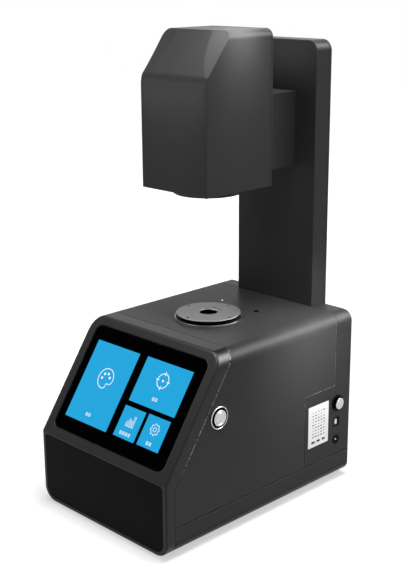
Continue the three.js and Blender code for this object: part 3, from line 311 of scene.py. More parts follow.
def distance_from_z(tree, vector):
    """Distance of a point from the Z axis."""
    flat = tree.nodes.new("ShaderNodeVectorMath")
    flat.operation = "MULTIPLY"
    flat.inputs[1].default_value = (1, 1, 0)
    tree.links.new(vector, flat.inputs[0])
    length = tree.nodes.new("ShaderNodeVectorMath")
    length.operation = "LENGTH"
    tree.links.new(flat.outputs[0], length.inputs[0])
    return length.outputs["Value"]


def make_turned_lines():
    """Fine rings about Z, as a lathe leaves them; Pitch is their spacing in mm."""
    tree, given, result = new_group(
        "turned_lines",
        [("Vector", "NodeSocketVector", None), ("Pitch", "NodeSocketFloat", 0.5)],
        ["Height"],
    )
    rings = tree.nodes.new("ShaderNodeTexNoise")
    rings.noise_dimensions = "1D"
    rings.inputs["Detail"].default_value = 3
    tree.links.new(distance_from_z(tree, given.outputs["Vector"]), rings.inputs["W"])
    tree.links.new(math_node(tree, "DIVIDE", 1 / MM, given.outputs["Pitch"]), rings.inputs["Scale"])
    tree.links.new(rings.outputs[0], result.inputs["Height"])
    return tree


def make_brushed_lines():
    """Long scratches along Z of sheet metal; Pitch is their spacing in mm."""
    stretch = 0.03
    tree, given, result = new_group(
        "brushed_lines",
        [("Vector", "NodeSocketVector", None), ("Pitch", "NodeSocketFloat", 0.4)],
        ["Height"],
    )
    squeezed = tree.nodes.new("ShaderNodeVectorMath")
    squeezed.operation = "MULTIPLY"
    squeezed.inputs[1].default_value = (1, 1, stretch)
    tree.links.new(given.outputs["Vector"], squeezed.inputs[0])
    scale = math_node(tree, "DIVIDE", 1 / MM, given.outputs["Pitch"])
    tree.links.new(noise_node(tree, squeezed.outputs[0], scale, 3), result.inputs["Height"])
    return tree


SURFACE_GRAIN = make_surface_grain()
TONE_DRIFT = make_tone_drift()
HANDLING_MARKS = make_handling_marks()
TURNED_LINES = make_turned_lines()
BRUSHED_LINES = make_brushed_lines()


# Materials

COOL = (1, 1, 1.02)


def grey(level, tint=(1, 1, 1)):
    """Linear colour of a display grey from 0 to 255, with a slight tint."""
    value = (level / 255) ** 2.2
    return tuple(value * part for part in tint) + (1,)


def colour(red, green, blue):
    return tuple((part / 255) ** 2.2 for part in (red, green, blue)) + (1,)


def scaled(tone, factor):
    return tuple(part * factor for part in tone[:3]) + (1,)


def new_material(name):
    material = bpy.data.materials.new(name)
    material.use_nodes = True
    tree = material.node_tree
    where = tree.nodes.new("ShaderNodeTexCoord").outputs["Object"]
    return material, tree, tree.nodes["Principled BSDF"], where


def placed(tree, group, where, **values):
    node = tree.nodes.new("ShaderNodeGroup")
    node.node_tree = group
    tree.links.new(where, node.inputs["Vector"])
    for name, value in values.items():
        node.inputs[name].default_value = value
    return node


def mixed(tree, factor, first, second):
    node = tree.nodes.new("ShaderNodeMix")
    node.data_type = "RGBA"
    tree.links.new(factor, node.inputs["Factor"])
    colours = [socket for socket in node.inputs if socket.type == "RGBA"]
    for socket, value in zip(colours, (first, second)):
        if isinstance(value, tuple):
            socket.default_value = value
        else:
            tree.links.new(value, socket)
    return next(socket for socket in node.outputs if socket.type == "RGBA")


def raised(tree, shader, height, depth):
    """Bump from a height; depth is its full depth in mm."""
    bump = tree.nodes.new("ShaderNodeBump")
    bump.inputs["Strength"].default_value = 1
    bump.inputs["Distance"].default_value = depth * MM
    tree.links.new(height, bump.inputs["Height"])
    tree.links.new(bump.outputs["Normal"], shader.inputs["Normal"])


def skin(name, tone, roughness, grain=0.8, depth=0.02, drift=0.05, patch=70, smear=0.06,
         specular=0.5, specks=0.5):
    """A sprayed, moulded or cast surface: slow drift of tone, fine pebbling, specks and faint smears."""
    dust_gain, dust_floor = 3, 0.02
    material, tree, shader, where = new_material(name)
    drifting = placed(tree, TONE_DRIFT, where, Patch=patch)
    body = mixed(tree, drifting.outputs["Tone"], scaled(tone, 1 - drift), scaled(tone, 1 + drift))
    pebbles = placed(tree, SURFACE_GRAIN, where, Grain=grain)
    faint = math_node(tree, "MULTIPLY", pebbles.outputs["Specks"], specks)
    dust = tuple(min(1, dust_gain * part + dust_floor) for part in tone[:3]) + (1,)
    tree.links.new(mixed(tree, faint, body, dust), shader.inputs["Base Color"])
    smears = placed(tree, HANDLING_MARKS, where)
    rough = range_node(tree, smears.outputs["Smear"], 0, 1, roughness, roughness + smear)
    tree.links.new(rough, shader.inputs["Roughness"])
    raised(tree, shader, pebbles.outputs["Height"], depth)
    shader.inputs["Specular IOR Level"].default_value = specular
    return material


def metal(name, tone, roughness, lines, line_pitch, depth, turn=None):
    """Bare metal with turned or brushed lines; turn carries the axis of the lines to Z."""
    smear, smear_size = 0.08, 12
    groove_share, crest_share = 0.9, 1.05
    material, tree, shader, where = new_material(name)
    if turn is not None:
        mapping = tree.nodes.new("ShaderNodeMapping")
        mapping.inputs["Location"].default_value = turn.translation
        mapping.inputs["Rotation"].default_value = turn.to_euler()
        tree.links.new(where, mapping.inputs["Vector"])
        along = mapping.outputs["Vector"]
    else:
        along = where
    tool_marks = placed(tree, lines, along, Pitch=line_pitch)
    shade = range_node(tree, tool_marks.outputs["Height"], 0.3, 0.7)
    lined = mixed(tree, shade, scaled(tone, groove_share), scaled(tone, crest_share))
    tree.links.new(lined, shader.inputs["Base Color"])
    smears = placed(tree, HANDLING_MARKS, where, Size=smear_size)
    rough = range_node(tree, smears.outputs["Smear"], 0, 1, roughness, roughness + smear)
    tree.links.new(rough, shader.inputs["Roughness"])
    raised(tree, shader, tool_marks.outputs["Height"], depth)
    shader.inputs["Metallic"].default_value = 1
    return material


def clear_glass(name, tone, roughness):
    """Clear glass with faint smears and a slight drift of its tint."""
    smear, smear_size = 0.05, 10
    material, tree, shader, where = new_material(name)
    smears = placed(tree, HANDLING_MARKS, where, Size=smear_size)
    rough = range_node(tree, smears.outputs["Smear"], 0, 1, roughness, roughness + smear)
    tree.links.new(rough, shader.inputs["Roughness"])
    drifting = placed(tree, TONE_DRIFT, where, Patch=15)
    tint = mixed(tree, drifting.outputs["Tone"], tone, scaled(tone, 0.97))
    tree.links.new(tint, shader.inputs["Base Color"])
    shader.inputs["Transmission Weight"].default_value = 1
    shader.inputs["IOR"].default_value = 1.5
    return material


def glowing(name, tone):
    """A lit stretch of the display under its cover glass, with a slight grain of its cells."""
    cell = 0.25
    smooth, smeared = 0.12, 0.2
    unlit_share = 0.05
    material, tree, shader, where = new_material(name)
    cells = placed(tree, SURFACE_GRAIN, where, Grain=cell)
    shade = range_node(tree, cells.outputs["Height"], 0.35, 0.65)
    lit = mixed(tree, shade, scaled(tone, 0.97), scaled(tone, 1.03))
    tree.links.new(lit, shader.inputs["Emission Color"])
    smears = placed(tree, HANDLING_MARKS, where)
    rough = range_node(tree, smears.outputs["Smear"], 0, 1, smooth, smeared)
    tree.links.new(rough, shader.inputs["Roughness"])
    shader.inputs["Base Color"].default_value = scaled(tone, unlit_share)
    shader.inputs["Emission Strength"].default_value = 1
    shader.inputs["Specular IOR Level"].default_value = 0.15
    return material


def plate_finish():
    """Turned aluminium that is left bright on top, and black down its side and in its bore."""
    material = metal(
        "port_aluminium", grey(110), 0.5, TURNED_LINES, 0.6, 0.01, turning_about_z("port_plate"))
    tree = material.node_tree
    mapping = next(node for node in tree.nodes if node.type == "MAPPING")
    reach = distance_from_z(tree, mapping.outputs["Vector"])
    low, high = node_box("port_plate")
    edge = ((high.x - low.x) / 2 - PLATE_EDGE_ROUND) * MM
    mouth = (APERTURE_RADIUS + PLATE_EDGE_ROUND) * MM
    inside = math_node(tree, "LESS_THAN", reach, mouth)
    outside = math_node(tree, "GREATER_THAN", reach, edge)
    tone_mixed_in(material, math_node(tree, "MAXIMUM", inside, outside), grey(14))
    return material


def turning_about_z(node):
    """Mapping that puts the origin on a node's upright axis."""
    return Matrix.Translation(-(node_middle(node) + CENTRE) * MM)


def turning_about_x(node):
    """Mapping that puts the origin on a node's level axis and lays that axis along Z."""
    turn = Matrix.Rotation(-math.pi / 2, 4, "Y")
    return turn @ Matrix.Translation(-(node_middle(node) + CENTRE) * MM)


def tone_mixed_in(material, factor, tone):
    """Lays a tone over a material's own colour where the factor is 1."""
    tree = material.node_tree
    shader = tree.nodes["Principled BSDF"]
    body = shader.inputs["Base Color"].links[0].from_socket
    tree.links.new(mixed(tree, factor, body, tone), shader.inputs["Base Color"])


def height_share(tree, low, high):
    """0 at the low height and 1 at the high one, in mm, and the coordinates that it reads."""
    where = tree.nodes.new("ShaderNodeTexCoord").outputs["Object"]
    parts = tree.nodes.new("ShaderNodeSeparateXYZ")
    tree.links.new(where, parts.inputs[0])
    return range_node(tree, parts.outputs["Z"], low * MM, high * MM), where


def paint_with_painted_foot_shade():
    """The casing's paint, with painted shade low on the foot where it turns under."""
    painted_shade_start, painted_shade_full = 18, 13.5
    material = skin(
        "casing_paint_with_painted_foot_shade", grey(52, COOL), 0.32, drift=0.03, smear=0.02, specular=0.07, specks=0.3)
    foot = node_box("base_pan")[0].z
    share, where = height_share(material.node_tree, foot + painted_shade_start, foot + painted_shade_full)
    # Painted shade: the colour darkens to grey 18 over the lowest part of the foot's rounding
    tone_mixed_in(material, share, grey(18))
    return material


def seam_edge_painted_highlight():
    """The casing's paint on its seam edges, with a painted highlight in short pale stretches on their
    upper part.
    """
    highlight_start, highlight_full = 88, 112
    highlight_top_end, highlight_top_full = 1, 6
    dash_size = 2.5
    dash_start, dash_full = 0.4, 0.56
    material = skin("casing_edge_painted_highlight", grey(60, COOL), 0.35, smear=0.02, specular=0.05)
    tree = material.node_tree
    share, where = height_share(tree, highlight_start, highlight_full)
    dash_noise = noise_node(tree, where, 1 / (dash_size * MM), 1)
    highlight_dashes = range_node(tree, dash_noise, dash_start, dash_full)
    top = node_box("main_shell")[1].z
    below_top = height_share(tree, top - highlight_top_end, top - highlight_top_full)[0]
    share = math_node(tree, "MULTIPLY", share, below_top)
    # Painted highlight: pale grey 205 in broken dashes on the edges, from 88 mm up to just under the top
    tone_mixed_in(material, math_node(tree, "MULTIPLY", share, highlight_dashes), grey(205))
    return material


PAINT = skin("casing_paint", grey(60, COOL), 0.35, drift=0.03, smear=0.02, specular=0.05, specks=0.3)
PAINT_WITH_PAINTED_FOOT_SHADE = paint_with_painted_foot_shade()
SEAM_EDGE_PAINTED_HIGHLIGHT = seam_edge_painted_highlight()
FRAME_PLASTIC = skin(
    "frame_plastic", grey(26), 0.33, grain=0.5, depth=0.005, drift=0.03, smear=0.01, specular=0.18,
    specks=0.1)
GLOSS_PANEL = skin("gloss_panel", grey(20), 0.3, grain=3, depth=0.003, specular=0.02, specks=0)
COVER_GLASS = skin(
    "screen_glass", grey(4), 0.06, grain=40, depth=0.004, specular=0.004, smear=0.04, specks=0)
GLASS_EDGE = skin("polished_glass_edge", grey(84), 0.2, grain=40, depth=0.004, specular=0.2, specks=0)
RUBBER = skin("rubber", grey(31), 0.8, grain=0.4, depth=0.04, specular=0.2)
BLACK_PLASTIC = skin("black_plastic", grey(9), 0.45, grain=0.4, specular=0.03)
GLOSS_BLACK = skin("gloss_black_plastic", grey(5), 0.12, grain=0.4, depth=0.004, specular=0.06, specks=0)
WHITE_COAT = skin("white_coat", grey(244), 0.9, grain=0.3, depth=0.03, drift=0.01, specular=0.1, specks=0)
LABEL_PAPER = skin("label", grey(252), 0.5, grain=0.5, depth=0.004, drift=0.01, specular=0.3, specks=0)
LABEL_INK = skin("label_ink", grey(40), 0.5, grain=0.2, depth=0.003, specular=0.3)
DARK_INK = skin("dark_ink", grey(14), 0.5, grain=0.2, depth=0.003, specular=0.2)
CIRCUIT_BOARD = skin("circuit_board", colour(30, 88, 50), 0.4, grain=1.2, depth=0.02, drift=0.15, patch=6)
ANODISED = plate_finish()
RING_STEEL = metal("ring_steel", grey(105), 0.3, TURNED_LINES, 0.4, 0.01, turning_about_z("port_plate"))
BRIGHT_STEEL = metal("bright_steel", grey(180), 0.22, BRUSHED_LINES, 0.3, 0.004)
TEST_STEEL = metal(
    "test_button_steel", grey(176), 0.25, TURNED_LINES, 0.35, 0.006, turning_about_x("test_button_cap"))
POWER_STEEL = metal(
    "power_button_steel", grey(180), 0.25, TURNED_LINES, 0.35, 0.006, turning_about_x("power_button_cap"))
SCREW_STEEL = metal("screw_steel", grey(190), 0.3, BRUSHED_LINES, 0.3, 0.01)
SHEET_STEEL = metal("sheet_steel", grey(190), 0.35, BRUSHED_LINES, 0.5, 0.015)
BRASS = metal("brass", colour(206, 168, 100), 0.3, BRUSHED_LINES, 0.4, 0.01)
DARK_BRASS = metal("dark_brass", colour(24, 22, 19), 0.4, BRUSHED_LINES, 0.4, 0.01)
BLACKENED_STEEL = skin("blackened_steel", grey(16), 0.4, grain=0.3, depth=0.01, specular=0.1, specks=0)
LENS_GLASS = clear_glass("lens_glass", (0.96, 0.98, 1, 1), 0.02)
LIT_BLUE = glowing("lit_blue", colour(18, 160, 216))
LIT_WHITE = glowing("lit_white", (0.9, 0.97, 1, 1))


# Outlines

def neighbours(items):
    count = len(items)
    return ((items[at - 1], items[at], items[(at + 1) % count]) for at in range(count))


def rounded(corners, steps=ARC_STEPS):
    """A closed loop from corners (x, y, radius): each corner becomes an arc between its two sides."""
    loop = []
    for before, corner, after in neighbours(corners):
        point, radius = Vector(corner[:2]), corner[2]
        if radius <= 0:
            loop.append(tuple(point))
            continue
        back = (Vector(before[:2]) - point).normalized()
        ahead = (Vector(after[:2]) - point).normalized()
        half_angle = back.angle(ahead) / 2
        centre = point + (back + ahead).normalized() * radius / math.sin(half_angle)
        start = point + back * radius / math.tan(half_angle) - centre
        sweep = start.angle_signed(point + ahead * radius / math.tan(half_angle) - centre)
        for step in range(steps + 1):
            turn = Matrix.Rotation(-sweep * step / steps, 2)
            loop.append(tuple(centre + turn @ start))
    return loop


def round_box(x0, x1, y0, y1, low_radius, high_radius, steps=ARC_STEPS):
    return rounded([
        (x0, y0, low_radius),
        (x1, y0, low_radius),
        (x1, y1, high_radius),
        (x0, y1, high_radius),
    ], steps)


def polar(x, y, reach, angle):
    """The point at a reach and an angle from a centre."""
    return x + reach * math.cos(angle), y + reach * math.sin(angle)


def circle(radius, x=0, y=0, steps=TURN_STEPS):
    return [polar(x, y, radius, 2 * math.pi * step / steps) for step in range(steps)]


# Solids, made as objects with mm in their mesh

AXES = {
    "x": (Vector((0, 1, 0)), Vector((0, 0, 1)), Vector((1, 0, 0))),
    "y": (Vector((1, 0, 0)), Vector((0, 0, 1)), Vector((0, 1, 0))),
    "z": (Vector((1, 0, 0)), Vector((0, 1, 0)), Vector((0, 0, 1))),
}


def turned_outwards(bm):
    """Points the faces of a closed mesh outwards; a thin wall's first guess can be wrong."""
    bmesh.ops.recalc_face_normals(bm, faces=bm.faces)
    if bm.calc_volume(signed=True) < 0:
        bmesh.ops.reverse_faces(bm, faces=bm.faces)


def solid_from(bm):
    turned_outwards(bm)
    mesh = bpy.data.meshes.new("piece")
    bm.to_mesh(mesh)
    bm.free()
    piece = bpy.data.objects.new("piece", mesh)
    bpy.context.scene.collection.objects.link(piece)
    return piece


def prism(loop, axis, start, end):
    """A straight solid along an axis; its loop is drawn in (Y, Z), (X, Z) or (X, Y)."""
    across, up, along = AXES[axis]
    bm = bmesh.new()
    near, far = (
        [bm.verts.new(across * a + up * b + along * place) for a, b in loop]
        for place in (start, end)
    )
    bm.faces.new(near)
    bm.faces.new(far)
    for at in range(len(loop)):
        bm.faces.new((near[at - 1], near[at], far[at], far[at - 1]))
    return solid_from(bm)


def block(x0, x1, y0, y1, z0, z1):
    return prism([(x0, y0), (x1, y0), (x1, y1), (x0, y1)], "z", z0, z1)


def block_between(low, high):
    return block(low.x, high.x, low.y, high.y, low.z, high.z)


def slab(width, length, height):
    """A block about the middle of X and Y that stands on Z 0."""
    return block(-width / 2, width / 2, -length / 2, length / 2, 0, height)


def turned(profile, axis="z", steps=TURN_STEPS):
    """A solid turned about an axis from a closed loop of (radius, height)."""
    on_axis = 1e-6
    across, up, along = AXES[axis]
    bm = bmesh.new()
    rings = []
    for radius, height in profile:
        if abs(radius) < on_axis:
            rings.append([bm.verts.new(along * height)] * steps)
        else:
            rings.append([
                bm.verts.new(along * height + across * a + up * b)
                for a, b in circle(radius, steps=steps)
            ])
    for at in range(len(rings)):
        lower, upper = rings[at - 1], rings[at]
        for step in range(steps):
            corners = (lower[step - 1], lower[step], upper[step], upper[step - 1])
            unique = list(dict.fromkeys(corners))
            if len(unique) > 2:
                bm.faces.new(unique)
    return solid_from(bm)


def applied(piece):
    """Turns the piece's modifiers into its plain mesh."""
    bpy.context.view_layer.update()
    graph = bpy.context.evaluated_depsgraph_get()
    mesh = bpy.data.meshes.new_from_object(piece.evaluated_get(graph), depsgraph=graph)
    rough = piece.data
    piece.modifiers.clear()
    piece.data = mesh
    bpy.data.meshes.remove(rough)
    return piece


def shaped(piece, tools, operation):
    for tool in tools:
        step = piece.modifiers.new("shape", "BOOLEAN")
        step.operation = operation
        step.solver = "EXACT"
        step.object = tool
    applied(piece)
    for tool in tools:
        bpy.data.meshes.remove(tool.data)
    return piece


def cut(piece, *tools):
    return shaped(piece, tools, "DIFFERENCE")


def kept_within(piece, *tools):
    return shaped(piece, tools, "INTERSECT")


def joined(piece, *tools):
    return shaped(piece, tools, "UNION")


def moved(piece, matrix):
    piece.data.transform(matrix)
    return piece


def shifted(piece, x, y, z):
    return moved(piece, Matrix.Translation((x, y, z)))


def tidied(piece):
    """Merges doubles, dissolves the edges inside flat faces and closes what that leaves open."""
    merge_distance, flat_angle = 0.005, 0.2
    bm = bmesh.new()
    bm.from_mesh(piece.data)
    bmesh.ops.remove_doubles(bm, verts=bm.verts, dist=merge_distance)
    bmesh.ops.dissolve_degenerate(bm, edges=bm.edges, dist=merge_distance)
    bmesh.ops.dissolve_limit(
        bm,
        angle_limit=math.radians(flat_angle),
        verts=bm.verts,
        edges=bm.edges,
        delimit={"NORMAL"},
    )
    open_edges = [edge for edge in bm.edges if edge.is_boundary]
    if open_edges:
        bmesh.ops.holes_fill(bm, edges=open_edges, sides=0)
        turned_outwards(bm)
    bm.to_mesh(piece.data)
    bm.free()
    return piece


def eased(piece, width, segments=3, angle=30, separate_edges=False):
    """Rounds the piece's crisp edges and shades the rest smooth.

    Its last argument gives the rounded edges their own material slot; on the main shell that slot carries
    a painted highlight.
    """
    tidied(piece)
    if width > 0:
        bevel = piece.modifiers.new("edge", "BEVEL")
        bevel.width = width
        bevel.segments = segments
        bevel.limit_method = "ANGLE"
        bevel.angle_limit = math.radians(angle)
        bevel.use_clamp_overlap = False
        bevel.miter_outer = "MITER_ARC"
        if separate_edges:
            piece.data.materials.append(None)
            piece.data.materials.append(None)
            bevel.material = 1
    piece.data.shade_smooth()
    normals = piece.modifiers.new("normals", "WEIGHTED_NORMAL")
    normals.keep_sharp = True
    piece.data.set_sharp_from_angle(angle=math.radians(angle))
    return applied(piece)


def rim_rounded(piece, width, segments, wanted):
    """Rounds the edges for which wanted(edge) is true."""
    bm = bmesh.new()
    bm.from_mesh(piece.data)
    weight = bm.edges.layers.float.new("bevel_weight_edge")
    for edge in bm.edges:
        edge[weight] = 1.0 if wanted(edge) else 0.0
    bm.to_mesh(piece.data)
    bm.free()
    bevel = piece.modifiers.new("rim", "BEVEL")
    bevel.width = width
    bevel.segments = segments
    bevel.limit_method = "WEIGHT"
    bevel.use_clamp_overlap = False
    applied(piece)
    weights = piece.data.attributes.get("bevel_weight_edge")
    if weights:
        piece.data.attributes.remove(weights)
    return piece


def finished(piece, name, material, nodes=(), body="instrument", edge=None):
    """Puts a piece in its place in the frame, names it, gives it its material, hangs it on its body and
    hides the CAD parts that it stands for.
    """
    moved(piece, Matrix.Scale(MM, 4) @ Matrix.Translation(CENTRE))
    piece.name = name
    piece.data.name = name
    if edge is None:
        piece.data.materials.clear()
        piece.data.materials.append(material)
    else:
        piece.data.materials[0] = material
        piece.data.materials[1] = edge
    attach(piece, body)
    if nodes:
        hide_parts(*nodes)
    return piece


def turned_piece(loop, axis, middle, name, material, nodes=(), body="instrument",
                 arc_steps=5, steps=TURN_STEPS):
    """A turned piece from its corners, about an axis through its middle, put in its place."""
    offset = middle.copy()
    setattr(offset, axis, 0)
    piece = eased(turned(rounded(loop, arc_steps), axis, steps), 0)
    return finished(shifted(piece, *offset), name, material, nodes, body)


# Repeats, made by Geometry Nodes

# Places of the sockets of a random value node that gives a number
RANDOM_MIN, RANDOM_MAX, RANDOM_VALUE = 2, 3, 1


def random_number(tree, seed):
    node = tree.nodes.new("FunctionNodeRandomValue")
    node.data_type = "FLOAT"
    tree.links.new(seed, node.inputs["Seed"])
    return node


def pattern_tree(name, sizes, lay_points):
    """A tree that repeats the piece on points, turned and shortened by a fixed seed."""
    tree = bpy.data.node_groups.new(name, "GeometryNodeTree")
    sockets = [
        ("Piece", "NodeSocketGeometry"),
        ("Finish", "NodeSocketMaterial"),
        ("Seed", "NodeSocketInt"),
        ("Most Turn", "NodeSocketFloat"),
        ("Least Length", "NodeSocketFloat"),
    ]
    for socket, kind in sockets + sizes:
        tree.interface.new_socket(name=socket, in_out="INPUT", socket_type=kind)
    tree.interface.new_socket(name="Pieces", in_out="OUTPUT", socket_type="NodeSocketGeometry")
    given = tree.nodes.new("NodeGroupInput").outputs
    turn = random_number(tree, given["Seed"])
    tree.links.new(given["Most Turn"], turn.inputs[RANDOM_MAX])
    upright = tree.nodes.new("ShaderNodeCombineXYZ")
    tree.links.new(turn.outputs[RANDOM_VALUE], upright.inputs["Z"])
    length = random_number(tree, given["Seed"])
    tree.links.new(given["Least Length"], length.inputs[RANDOM_MIN])
    size = tree.nodes.new("ShaderNodeCombineXYZ")
    size.inputs["Y"].default_value = 1
    size.inputs["Z"].default_value = 1
    tree.links.new(length.outputs[RANDOM_VALUE], size.inputs["X"])
    placing = tree.nodes.new("GeometryNodeInstanceOnPoints")
    tree.links.new(lay_points(tree, given), placing.inputs["Points"])
    tree.links.new(given["Piece"], placing.inputs["Instance"])
    tree.links.new(upright.outputs[0], placing.inputs["Rotation"])
    tree.links.new(size.outputs[0], placing.inputs["Scale"])
    real = tree.nodes.new("GeometryNodeRealizeInstances")
    tree.links.new(placing.outputs[0], real.inputs[0])
    finish = tree.nodes.new("GeometryNodeSetMaterial")
    tree.links.new(real.outputs[0], finish.inputs["Geometry"])
    tree.links.new(given["Finish"], finish.inputs["Material"])
    result = tree.nodes.new("NodeGroupOutput")
    tree.links.new(finish.outputs[0], result.inputs["Pieces"])
    return tree


def ring_points(tree, given):
    ring = tree.nodes.new("GeometryNodeMeshCircle")
    tree.links.new(given["Count"], ring.inputs["Vertices"])
    tree.links.new(given["Radius"], ring.inputs["Radius"])
    return ring.outputs["Mesh"]


def grid_points(tree, given):
    grid = tree.nodes.new("GeometryNodeMeshGrid")
    for socket in ("Size X", "Size Y"):
        tree.links.new(given[socket], grid.inputs[socket])
    tree.links.new(given["Columns"], grid.inputs["Vertices X"])
    tree.links.new(given["Rows"], grid.inputs["Vertices Y"])
    return grid.outputs["Mesh"]


RING_PATTERN = pattern_tree(
    "ring_pattern",
    [("Count", "NodeSocketInt"), ("Radius", "NodeSocketFloat")],
    ring_points,
)
GRID_PATTERN = pattern_tree(
    "grid_pattern",
    [
        ("Columns", "NodeSocketInt"),
        ("Rows", "NodeSocketInt"),
        ("Size X", "NodeSocketFloat"),
        ("Size Y", "NodeSocketFloat"),
    ],
    grid_points,
)


def repeated(piece, tree, material, matrix, **values):
    """The piece repeated by a tree in its own plane, then laid in place by the matrix."""
    settings = {"Finish": material, "Seed": 7, "Most Turn": 0.0, "Least Length": 1.0}
    settings.update({name.replace("_", " ").title(): value for name, value in values.items()})
    pattern = piece.modifiers.new("pattern", "NODES")
    pattern.node_group = tree
    for item in tree.interface.items_tree:
        if item.in_out == "INPUT" and item.name in settings:
            pattern[item.identifier] = settings[item.name]
    applied(piece)
    return moved(piece, matrix)


def socket_screw(head_radius, head_height, shank_radius, shank_length):
    """A hexagon socket screw that stands on Z 0, with its shank below."""
    edge = 0.12 * head_radius
    key_radius = 0.52 * head_radius
    key_foot = 0.35 * head_height
    screw = turned(rounded([
        (0, -shank_length, 0),
        (shank_radius, -shank_length, 0),
        (shank_radius, 0, 0),
        (head_radius, 0, 0),
        (head_radius, head_height, edge),
        (0, head_height, 0),
    ], 3), steps=SCREW_STEPS)
    key = prism(circle(key_radius, steps=6), "z", key_foot, head_height + OVERRUN)
    return eased(cut(screw, key), 0)


def facing(place, axis):
    """Matrix that lays a pattern drawn in X and Y at a place, so that its Z points along an axis."""
    across, _, along = AXES[axis]
    turn = Matrix((across, along.cross(across), along)).transposed().to_4x4()
    return Matrix.Translation(place) @ turn


# Base casing, in millimetres about the middle of the base

FRAME_LOW, FRAME_HIGH = node_box("front_frame")
PAN_LOW, PAN_HIGH = node_box("base_pan")
HALF_WIDTH = FRAME_HIGH.x
FRONT = FRAME_LOW.y
REAR = node_box("rear_shell")[1].y
BASE_FOOT = FRAME_LOW.z
BASE_TOP = FRAME_HIGH.z
PAN_TOP = BASE_FOOT + 33
FRAME_BACK = PAN_LOW.y - FIT_GAP
LOW_CORNER = 18
TOP_CORNER = 18
REAR_CORNER = 4
KNEE = BASE_FOOT + 87
SLOPE = math.radians(55.5)
FRAME_DEPTH = 16
FRAME_SPAN = FRAME_DEPTH / math.sin(SLOPE)
FRAME_KNEE = KNEE + (FRAME_BACK - FRONT - FRAME_SPAN) * math.tan(SLOPE)
FRAME_RIM = 6
FRAME_ROUND = 2.2
COLUMN_LOW, COLUMN_HIGH = node_box("column_front_cover")
COLUMN_FRONT = COLUMN_LOW.y
COLUMN_HALF = COLUMN_HIGH.x
SEAM_UPPER = REAR - 31
SEAM_LOWER = REAR - 86
SEAM_STEP = BASE_FOOT + 123
SEAM_ROUND = 0.45
MAIN_SEAM_ROUND = 0.7
SHADOW_GAP = 0.9
PORT = node_middle("port_plate")
BUSH = node_middle("fixture_bush")
PANEL_LOW, PANEL_HIGH = node_box("lower_front_panel")
FOOT_NODES = ["foot_front_left", "foot_front_right", "foot_rear_left", "foot_rear_right"]
FOOT_STUD_RADIUS = 3


def slope_y(height):
    """Y of the slanted screen face at a height."""
    return FRONT + (height - KNEE) / math.tan(SLOPE)


def base_section(inset):
    """The base seen from the front."""
    return round_box(
        -HALF_WIDTH + inset,
        HALF_WIDTH - inset,
        BASE_FOOT + inset,
        BASE_TOP - inset,
        LOW_CORNER - inset,
        TOP_CORNER - inset,
    )


def base_plan(inset):
    """Block with the base's outline from above: its rear corners are round."""
    loop = round_box(
        -HALF_WIDTH + inset, HALF_WIDTH - inset, FRONT, REAR - inset, 0, REAR_CORNER - inset)
    return prism(loop, "z", BASE_FOOT - OVERRUN, BASE_TOP + OVERRUN)


def wide_prism(loop):
    """A solid drawn from the side that is wider than the base."""
    return prism(loop, "x", -HALF_WIDTH - OVERRUN, HALF_WIDTH + OVERRUN)


def base_side(inset):
    """Block with the base's outline from the side: its upper rear edge is round."""
    return wide_prism(rounded([
        (2 * FRONT, BASE_FOOT - OVERRUN, 0),
        (REAR - inset, BASE_FOOT - OVERRUN, 0),
        (REAR - inset, BASE_TOP - inset, REAR_CORNER - inset),
        (2 * FRONT, BASE_TOP - inset, 0),
    ]))


def wide_block(y0, y1, z0, z1):
    return block(-HALF_WIDTH - OVERRUN, HALF_WIDTH + OVERRUN, y0, y1, z0, z1)


def side_hole(radius, place):
    loop = circle(radius + FIT_GAP, place.y, place.z)
    return prism(loop, "x", HALF_WIDTH - TOP_CORNER, HALF_WIDTH + OVERRUN)


def top_hole(radius, place):
    loop = circle(radius + FIT_GAP, place.x, place.y)
    return prism(loop, "z", BASE_TOP - TOP_CORNER, BASE_TOP + OVERRUN)


def board_posts():
    """Four posts under the main board and a rail under the socket board."""
    post_radius, post_inset, rail_half = 4, 8, 3
    foot = BASE_FOOT + WALL / 2
    low, high = node_box("main_board")
    posts = []
    for x in (low.x + post_inset, high.x - post_inset):
        for y in (low.y + post_inset, high.y - post_inset):
            loop = circle(post_radius, x, y, HOLE_STEPS)
            posts.append(prism(loop, "z", foot, low.z - SEAT_GAP))
    low, high = node_box("socket_board")
    middle = (low.x + high.x) / 2
    left, right = middle - rail_half, middle + rail_half
    posts.append(block(left, right, low.y, high.y, foot, low.z - SEAT_GAP))
    return posts


def make_base_pan():
    start = FRAME_BACK + FIT_GAP
    pan = kept_within(
        prism(base_section(0), "y", start, REAR),
        base_plan(0),
        wide_block(FRONT, REAR + OVERRUN, BASE_FOOT - OVERRUN, PAN_TOP),
    )
    hollow = kept_within(prism(base_section(WALL), "y", start + WALL, REAR - WALL), base_plan(WALL))
    studs = []
    for node in FOOT_NODES:
        place = node_middle(node)
        loop = circle(FOOT_STUD_RADIUS + FIT_GAP, place.x, place.y, SCREW_STEPS)
        studs.append(prism(loop, "z", BASE_FOOT - OVERRUN, BASE_FOOT + WALL + OVERRUN))
    cut(pan, hollow, *studs)
    joined(pan, *board_posts())
    # The pan's paint has painted shade low on its foot rounding
    finished(eased(pan, SEAM_ROUND), "painted_base_pan", PAINT_WITH_PAINTED_FOOT_SHADE, ["base_pan"])


